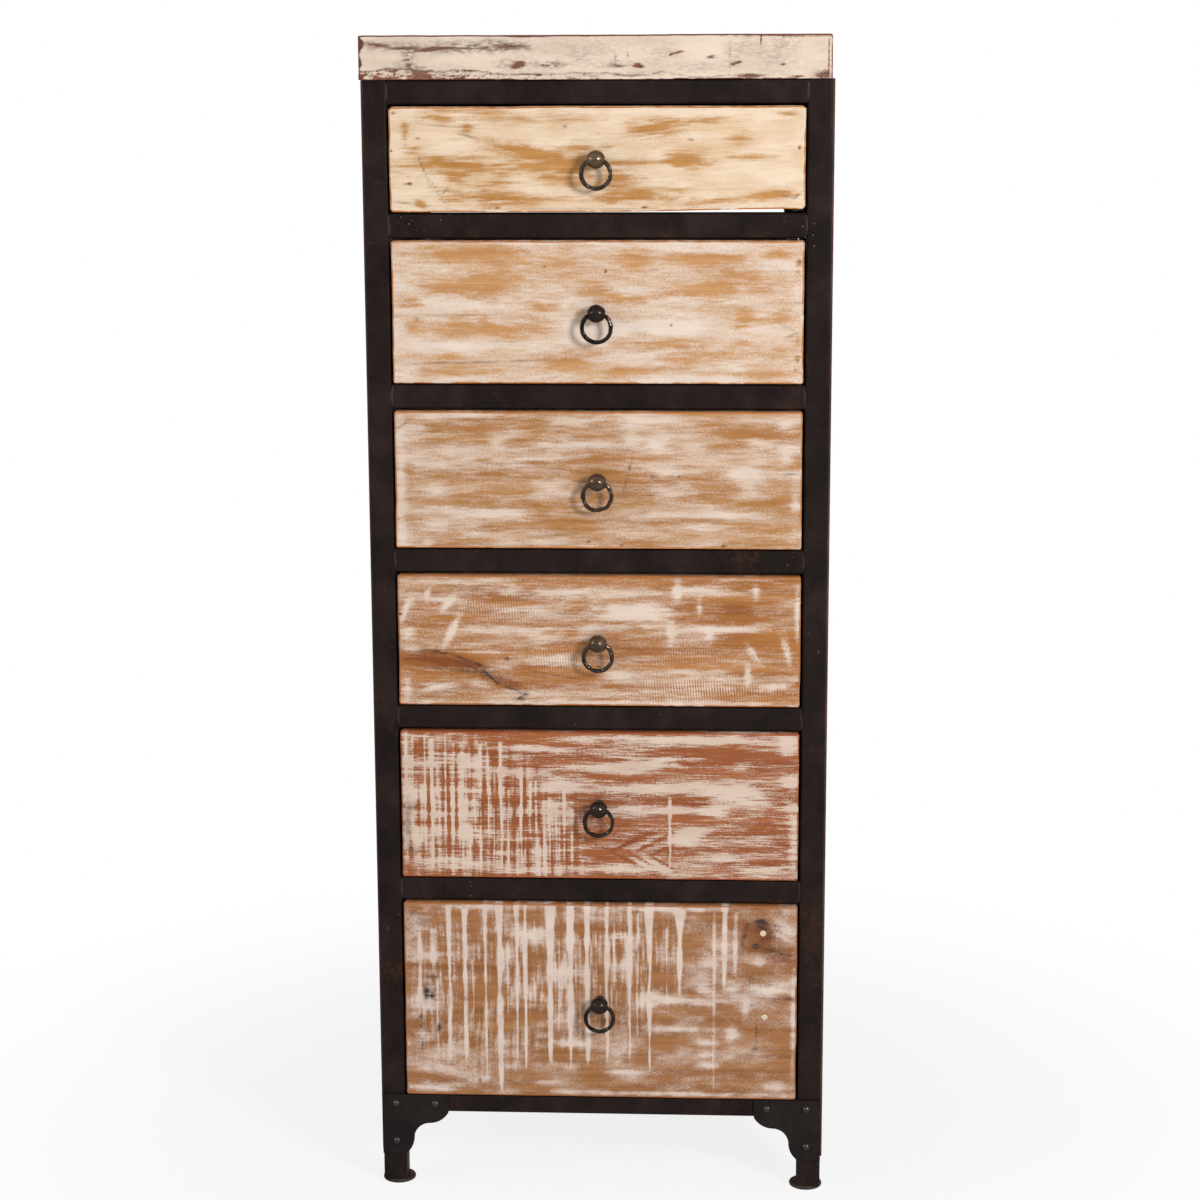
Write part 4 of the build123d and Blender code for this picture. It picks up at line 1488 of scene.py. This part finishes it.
@dataclass
class Pull:
    """A ball on a neck with a hammered ring through it, in millimetres."""

    place: int
    stud_material: bpy.types.Material
    ring_material: bpy.types.Material
    ball: float = 9.6
    standoff: float = 14.5
    bore: float = 4.656
    drop: float = 1.5
    neck: float = 4.0
    collar: float = 6.5
    collar_rise: float = 2.0
    board: float = 20.0
    washer: float = 8.0
    washer_thick: float = 1.5
    nut: float = 5.77
    nut_thick: float = 5.0
    shank: float = 3.0
    shank_end: float = 2.0
    wire: float = 2.33
    ring: float = 14.6
    ball_sides: int = 48
    ball_rows: int = 31
    bore_rows: int = 9
    beaten: float = 0.85
    turned_sides: int = 28
    nut_sides: int = 6
    stud_crease: float = 42.0
    ring_crease: float = 16.0
    cast_seed: int = 40
    strike_seed: int = 60
    ring_rows: int = 120
    ring_sides: int = 20
    strike_count: int = 64
    flattened: Pair = (0.66, 0.9)
    strike_reach: Pair = (1.6, 3.6)

    def __post_init__(self) -> None:
        """Finds the front's face and the pull's height."""
        low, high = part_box(f"drawer_{self.place}_front")
        self.face = float(low[1])
        self.middle = float((low[2] + high[2]) / 2)
        self.cloud = Cloud(self.cast_seed + self.place)
        self.strikes = np.random.default_rng(self.strike_seed + self.place)

    def build(self) -> list[bpy.types.Object]:
        """Builds the stud and the ring.

        Returns:
            Both pieces.
        """
        return [self.build_stud(), self.build_ring()]

    def build_stud(self) -> bpy.types.Object:
        """Builds the ball, its neck and collar, and the washer and nut behind the board.

        Returns:
            The piece.
        """
        parts = [self.bead(), self.turned(self.stem()), self.turned(self.tail()), self.nut_block()]
        points, faces, start = [], [], 0
        for part_points, part_faces in parts:
            points.append(part_points)
            faces.extend(block + start for block in part_faces)
            start += len(part_points)
        spots = np.concatenate(points) * MM + np.array([0.0, self.face, self.middle])
        made = make_object(f"drawer_{self.place}_ball_stud", spots, faces, self.stud_crease)
        made.data.materials.append(self.stud_material)
        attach(made, f"drawer_{self.place}")
        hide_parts(f"drawer_{self.place}_stud")
        return made

    def bead(self) -> tuple[Array, list[Array]]:
        """The cast ball, bored across for the ring a little under its middle.

        Returns:
            Points from the middle of the front's face, and faces.
        """
        turn = once_round(self.ball_sides)[np.newaxis, :]
        side, level = self.bore * np.cos(turn), self.bore * np.sin(turn) - self.drop
        half = np.sqrt(self.ball**2 - side**2 - level**2)
        outer = np.sin(np.linspace(-0.5, 0.5, self.ball_rows) * math.pi)[:, np.newaxis]
        along = half * outer
        reach = np.sqrt(self.ball**2 - along**2 - (self.drop * np.cos(turn)) ** 2)
        reach = self.drop * np.sin(turn) + reach
        beaten = self.cloud.layered(np.cos(turn) * 2 + along / 3.2, np.sin(turn) * 2 + along / 5, 3)
        reach = reach - self.beaten * beaten * (1 - outer**4)
        inner = np.linspace(1, -1, self.bore_rows)[1:-1, np.newaxis]
        along = np.concatenate([along, half * inner])
        reach = np.concatenate([reach, np.full((len(inner), self.ball_sides), self.bore)])
        points = in_rows(along, reach * np.cos(turn) - self.standoff, reach * np.sin(turn) - self.drop)
        grid = np.arange(len(points)).reshape(along.shape)
        return points, [quads(looped(np.concatenate([grid, grid[:1]])), True)]

    def stem(self) -> list[Pair]:
        """Radius and place of the neck and collar, from inside the ball to inside the board."""
        start = -self.standoff + math.sqrt(self.ball**2 - self.neck**2) - 1.0
        rise = self.collar_rise
        return [
            (0.0, start),
            (self.neck, start),
            (self.neck, start + 1.2),
            (self.neck * 0.93, -rise - 1.2),
            (self.neck, -rise - 0.3),
            (self.neck + 0.6, -rise),
            (self.collar - 0.7, -0.9),
            (self.collar, -0.3),
            (self.collar, 0.7),
            (0.0, 0.7),
        ]

    def tail(self) -> list[Pair]:
        """Radius and place of the washer and of the shank's end, behind the board."""
        end = self.board + self.washer_thick + self.nut_thick + self.shank_end
        return [
            (0.0, self.board - 0.5),
            (self.washer - 0.3, self.board - 0.5),
            (self.washer, self.board + 0.2),
            (self.washer, self.board + self.washer_thick - 0.3),
            (self.washer - 0.3, self.board + self.washer_thick),
            (self.shank, self.board + self.washer_thick),
            (self.shank, end - 0.6),
            (self.shank - 0.6, end),
            (0.0, end),
        ]

    def turned(self, outline: list[Pair]) -> tuple[Array, list[Array]]:
        """A turning about the pull's axis.

        Args:
            outline: Radius and place along Y, closed at both ends on the axis.

        Returns:
            Points and faces.
        """
        turn = once_round(self.turned_sides)
        rows = np.array(outline[1:-1])
        points = in_rows(rows[:, :1] * np.cos(turn), rows[:, 1:] + 0 * turn, rows[:, :1] * np.sin(turn))
        grid = np.arange(len(points)).reshape(len(rows), len(turn))
        ends = np.array([[0.0, outline[0][1], 0.0], [0.0, outline[-1][1], 0.0]])
        first = fan(len(points), grid[0])
        last = fan(len(points) + 1, grid[-1, ::-1])
        return np.concatenate([points, ends]), [quads(looped(grid), False), first, last]

    def nut_block(self) -> tuple[Array, list[Array]]:
        """The six-sided nut with its corners broken.

        Returns:
            Points and faces.
        """
        start = self.board + self.washer_thick
        turn = once_round(self.nut_sides)
        rows = np.array([(0.9, 0.0), (1.0, 0.5), (1.0, self.nut_thick - 0.5), (0.9, self.nut_thick)])
        reach = self.nut * rows[:, :1]
        points = in_rows(reach * np.cos(turn), start + rows[:, 1:] + 0 * turn, reach * np.sin(turn))
        grid = np.arange(len(points)).reshape(len(rows), len(turn))
        return points, [quads(looped(grid), False), grid[:1], grid[-1:, ::-1]]

    def build_ring(self) -> bpy.types.Object:
        """Builds the ring from a round wire that the hammer has flattened in many places.

        Returns:
            The piece.
        """
        low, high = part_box(f"drawer_{self.place}_ring")
        middle = (np.array(low) + np.array(high)) / 2
        around = once_round(self.ring_rows)[:, np.newaxis]
        across = once_round(self.ring_sides)[np.newaxis, :]
        thick = np.full((self.ring_rows, self.ring_sides), self.wire)
        for _ in range(self.strike_count):
            spot, side = self.strikes.uniform(0, 2 * math.pi, 2)
            flat = self.wire * self.strikes.uniform(*self.flattened)
            away = np.abs((around - spot + math.pi) % (2 * math.pi) - math.pi) * self.ring
            lean = (across - side + math.pi) % (2 * math.pi) - math.pi
            cut = flat + (self.wire - flat) * ease(*self.strike_reach, away)
            level = np.where(np.abs(lean) < 1.2, cut / np.maximum(np.cos(lean), 0.3), 99.0)
            thick = np.minimum(thick, level)
        bend = self.ring - 0.12 * self.cloud.layered(np.cos(around) * 2, np.sin(around) * 2, 2)
        reach = bend + thick * np.cos(across)
        points = in_rows(reach * np.cos(around), thick * np.sin(across), reach * np.sin(around))
        points = points * MM + middle
        grid = np.arange(len(points)).reshape(thick.shape)
        faces = [quads(looped(np.concatenate([grid, grid[:1]])), True)]
        made = make_object(f"drawer_{self.place}_hammered_ring", points, faces, self.ring_crease)
        made.data.materials.append(self.ring_material)
        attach(made, f"ring_{self.place}")
        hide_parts(f"drawer_{self.place}_ring")
        return made


@dataclass
class IronFrame:
    """The welded frame, its gussets, panels, runners and feet."""

    tube: Iron = Iron("frame_iron", tint(25, 18, 15), tint(45, 33, 30), tint(68, 39, 29), 0.36, 0.42)
    plate: Iron = Iron("gusset_iron", tint(28, 23, 22), tint(40, 33, 31), tint(66, 40, 29), 0.1, 0.42)
    sheet: Iron = Iron(
        "panel_iron", tint(78, 54, 46), tint(114, 82, 70), tint(130, 84, 63), 0.3, 0.52,
        rubs=(60.0, 30.0, 8.0),
    )
    runner: Iron = Iron("runner_iron", tint(40, 33, 30), tint(58, 48, 43), tint(92, 58, 40), 0.2, 0.5)
    foot: Iron = Iron("foot_iron", tint(50, 40, 36), tint(80, 65, 56), tint(156, 116, 90), 0.36, 0.5)
    rivet: Iron = Iron(
        "rivet_iron", tint(27, 21, 20), tint(37, 30, 28), tint(66, 42, 32), 0.1, 0.13, specular=0.5
    )
    rails: int = 5

    def build(self) -> list[str]:
        """Dresses the solids.

        Returns:
            Names of the solids.
        """
        posts = [f"{end}_{side}_post" for end in ("front", "rear") for side in ("left", "right")]
        rails = ["front_top_rail", "front_bottom_rail", "rear_top_rail", "rear_bottom_rail"]
        rails += [f"front_rail_{place}" for place in range(1, self.rails + 1)]
        groups = (
            (self.tube, posts + rails + ["left_side_rails", "right_side_rails"]),
            (self.plate, ["left_gusset", "right_gusset"]),
            (self.sheet, ["left_side_panel", "right_side_panel"]),
            (self.runner, ["left_runners", "right_runners"]),
            (self.foot, ["feet"]),
            (self.rivet, ["gusset_rivets"]),
        )
        dressed = []
        for finish, nodes in groups:
            material = finish.make()
            for node in nodes:
                dress(node, material)
                dressed.append(node)
        return dressed


@dataclass
class WeldBeads:
    """The lumpy beads that join the front rails to the posts, in millimetres."""

    rails: tuple[str, ...] = ("front_top_rail", *(f"front_rail_{place}" for place in range(1, 6)))
    half: float = 1.5
    height: float = 0.55
    pitch: float = 2.3
    inset: float = 2.2
    rows: int = 40
    turns: int = 14
    seed: int = 90
    crease: float = 60.0
    finish: Iron = Iron(
        "weld_iron", tint(36, 27, 25), tint(58, 46, 42), tint(78, 48, 36), 0.2, 0.36,
        specular=0.2, speck_share=0.8,
    )

    def build(self) -> bpy.types.Object:
        """Builds all the beads as one piece.

        Returns:
            The piece.
        """
        points, faces, made_points = [], [], 0
        for number, rail in enumerate(self.rails):
            low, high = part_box(rail)
            for end, x in enumerate((low[0], high[0])):
                bead = self.bead(x, low, high, Cloud(self.seed + 2 * number + end))
                grid = np.arange(bead[..., 0].size).reshape(bead.shape[:2]) + made_points
                points.append(bead.reshape(-1, 3))
                faces += [quads(looped(grid), False), np.stack([grid[0], grid[-1, ::-1]])]
                made_points += grid.size
        made = make_object("front_frame_weld_beads", np.concatenate(points), faces, self.crease)
        made.data.materials.append(self.finish.make())
        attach(made, "frame")
        return made

    def bead(self, x: float, low: Vector, high: Vector, lumps: Cloud) -> Array:
        """One bead, half sunk into the iron.

        Args:
            x: Place of the joint.
            low: Lowest corner of the rail.
            high: Highest corner of the rail.
            lumps: Noise that sets its lumps.

        Returns:
            Points in rows up the joint, each row once round the bead.
        """
        run = np.linspace(low[2] + self.inset * MM, high[2] - self.inset * MM, self.rows)[:, np.newaxis]
        turn = once_round(self.turns)[np.newaxis, :]
        level = np.full_like(run, 2.5)
        beat = lumps.layered(run / MM / 6, level, 3)
        ripple = 0.75 + 0.25 * np.abs(np.sin(math.pi * run / MM / self.pitch + 3 * beat))
        fade = np.sqrt(np.clip(np.sin(np.linspace(0, math.pi, self.rows)), 0.03, 1))[:, np.newaxis]
        size = ripple * fade * (0.6 + 0.7 * beat) * MM
        drift = 1.2 * MM * (lumps.layered(run / MM / 9, level + 5, 2) - 0.5)
        across = x + drift + self.half * size * np.cos(turn)
        depth = low[1] - self.height * size * np.sin(turn)
        return np.stack([across, depth, np.broadcast_to(run, across.shape)], axis=2)


@dataclass
class Studio:
    """The pale floor, the soft lights and the camera, in metres, degrees and watts."""

    eye: Triple = (0.1449, -2.8747, 1.1917)
    yaw: float = -3.04
    pitch: float = 11.428
    roll: float = -0.24
    lens: float = 80.225
    sensor: float = 36.0
    key_place: Triple = (1.85, -2.5, 1.75)
    key_size: float = 0.6
    key_power: float = 62.0
    fill_place: Triple = (-2.5, -1.3, 1.5)
    fill_size: float = 0.9
    fill_power: float = 18.0
    aim: Triple = (0.0, 0.0, 0.62)
    around: float = 0.34
    floor_rings: tuple[float, ...] = (0.3, 1.0, 3.0, 14.0)
    floor_sides: int = 96
    floor_fade: Pair = (0.35, 1.0)
    floor_white: Pair = (0.84, 1.0)
    floor_tint: Colour = tint(246, 246, 246)

    def build(self) -> None:
        """Sets up everything that isn't the object."""
        self.place_camera()
        self.light_world()
        self.hang_lamp("key_light", self.key_place, self.key_size, self.key_power)
        self.hang_lamp("fill_light", self.fill_place, self.fill_size, self.fill_power)
        self.lay_floor()
        bpy.context.scene.view_settings.view_transform = "Standard"

    def place_camera(self) -> None:
        """Stands the camera where the photograph was taken from."""
        yaw, pitch, roll = (math.radians(angle) for angle in (self.yaw, self.pitch, self.roll))
        ahead = Vector((math.sin(yaw) * math.cos(pitch), math.cos(yaw) * math.cos(pitch), -math.sin(pitch)))
        right = Vector((math.cos(yaw), -math.sin(yaw), 0.0))
        up = right.cross(ahead)
        side = math.cos(roll) * right + math.sin(roll) * up
        top = -math.sin(roll) * right + math.cos(roll) * up
        turned = Matrix((side, top, -ahead)).transposed().to_4x4()
        camera = bpy.data.cameras.new("camera")
        camera.sensor_width = self.sensor
        camera.lens = self.lens
        made = bpy.data.objects.new("camera", camera)
        made.matrix_world = Matrix.Translation(self.eye) @ turned
        bpy.context.scene.collection.objects.link(made)
        bpy.context.scene.camera = made

    def light_world(self) -> None:
        """A white room to look at, and a dimmer one to be lit by."""
        world = bpy.data.worlds.new("room")
        bpy.context.scene.world = world
        world.use_nodes = True
        tree = NodeTree(world.node_tree)
        path = tree.add("LightPath").outputs
        seen = tree.math("MAXIMUM", path["Is Camera Ray"], path["Is Transmission Ray"])
        shown = tree.math("MAXIMUM", seen, path["Is Glossy Ray"])
        room = tree.add("Background", Color=WHITE, Strength=self.around)
        white = tree.add("Background", Color=WHITE)
        tree.add("OutputWorld", Surface=tree.both(shown, room, white))

    def hang_lamp(self, name: str, place: Triple, size: float, power: float) -> None:
        """Hangs a square soft light that faces the chest.

        Args:
            name: Its name.
            place: Where it hangs.
            size: Length of its side.
            power: Its power in watts.
        """
        lamp = bpy.data.lights.new(name, "AREA")
        lamp.shape = "SQUARE"
        lamp.size = size
        lamp.energy = power
        made = bpy.data.objects.new(name, lamp)
        made.location = place
        made.rotation_euler = (Vector(self.aim) - Vector(place)).to_track_quat("-Z", "Y").to_euler()
        bpy.context.scene.collection.objects.link(made)

    def lay_floor(self) -> None:
        """Lays a pale round floor that turns white with distance and keeps the chest's shadow."""
        turn = once_round(self.floor_sides)
        rings = np.array(self.floor_rings)[:, np.newaxis]
        points = in_rows(rings * np.cos(turn), rings * np.sin(turn), 0 * rings * turn)
        grid = np.arange(len(points)).reshape(len(rings), len(turn))
        floor = make_object("floor", points, [quads(looped(grid), False), grid[:1]])
        shader = Shader("floor_white")
        shader.fill(shader.surface, Base_Color=self.floor_tint, Roughness=0.9, Specular_IOR_Level=0.0)
        reach = shader.add("VectorMath", Vector=shader.place)
        reach.operation = "LENGTH"
        camera_ray = shader.add("LightPath").outputs["Is Camera Ray"]
        far = shader.band(reach.outputs["Value"], *self.floor_fade, *self.floor_white)
        far = shader.math("MULTIPLY", far, camera_ray)
        white = shader.add("Emission")
        shader.fill(shader.output, Surface=shader.both(far, shader.surface, white))
        floor.data.materials.append(shader.material)


def main() -> None:
    """Builds the chest from its frame outward, then the studio round it."""
    logging.basicConfig(level=logging.INFO, format="%(message)s")
    for node in IronFrame().build() + DrawerBoxes().build():
        LOG.info("dressed %s", node)
    LOG.info("made %s", WeldBeads().build().name)
    LOG.info("made %s", TopSlab().build().name)
    metals = {sort: [finish.make() for finish in sort.value] for sort in PullFinish}
    for front in FRONTS:
        LOG.info("made %s", front.build().name)
        for piece in Pull(front.place, *metals[front.pull]).build():
            LOG.info("made %s", piece.name)
    LOG.info("made %s", NailHeads().build().name)
    Studio().build()


if __name__ == "__main__":
    main()
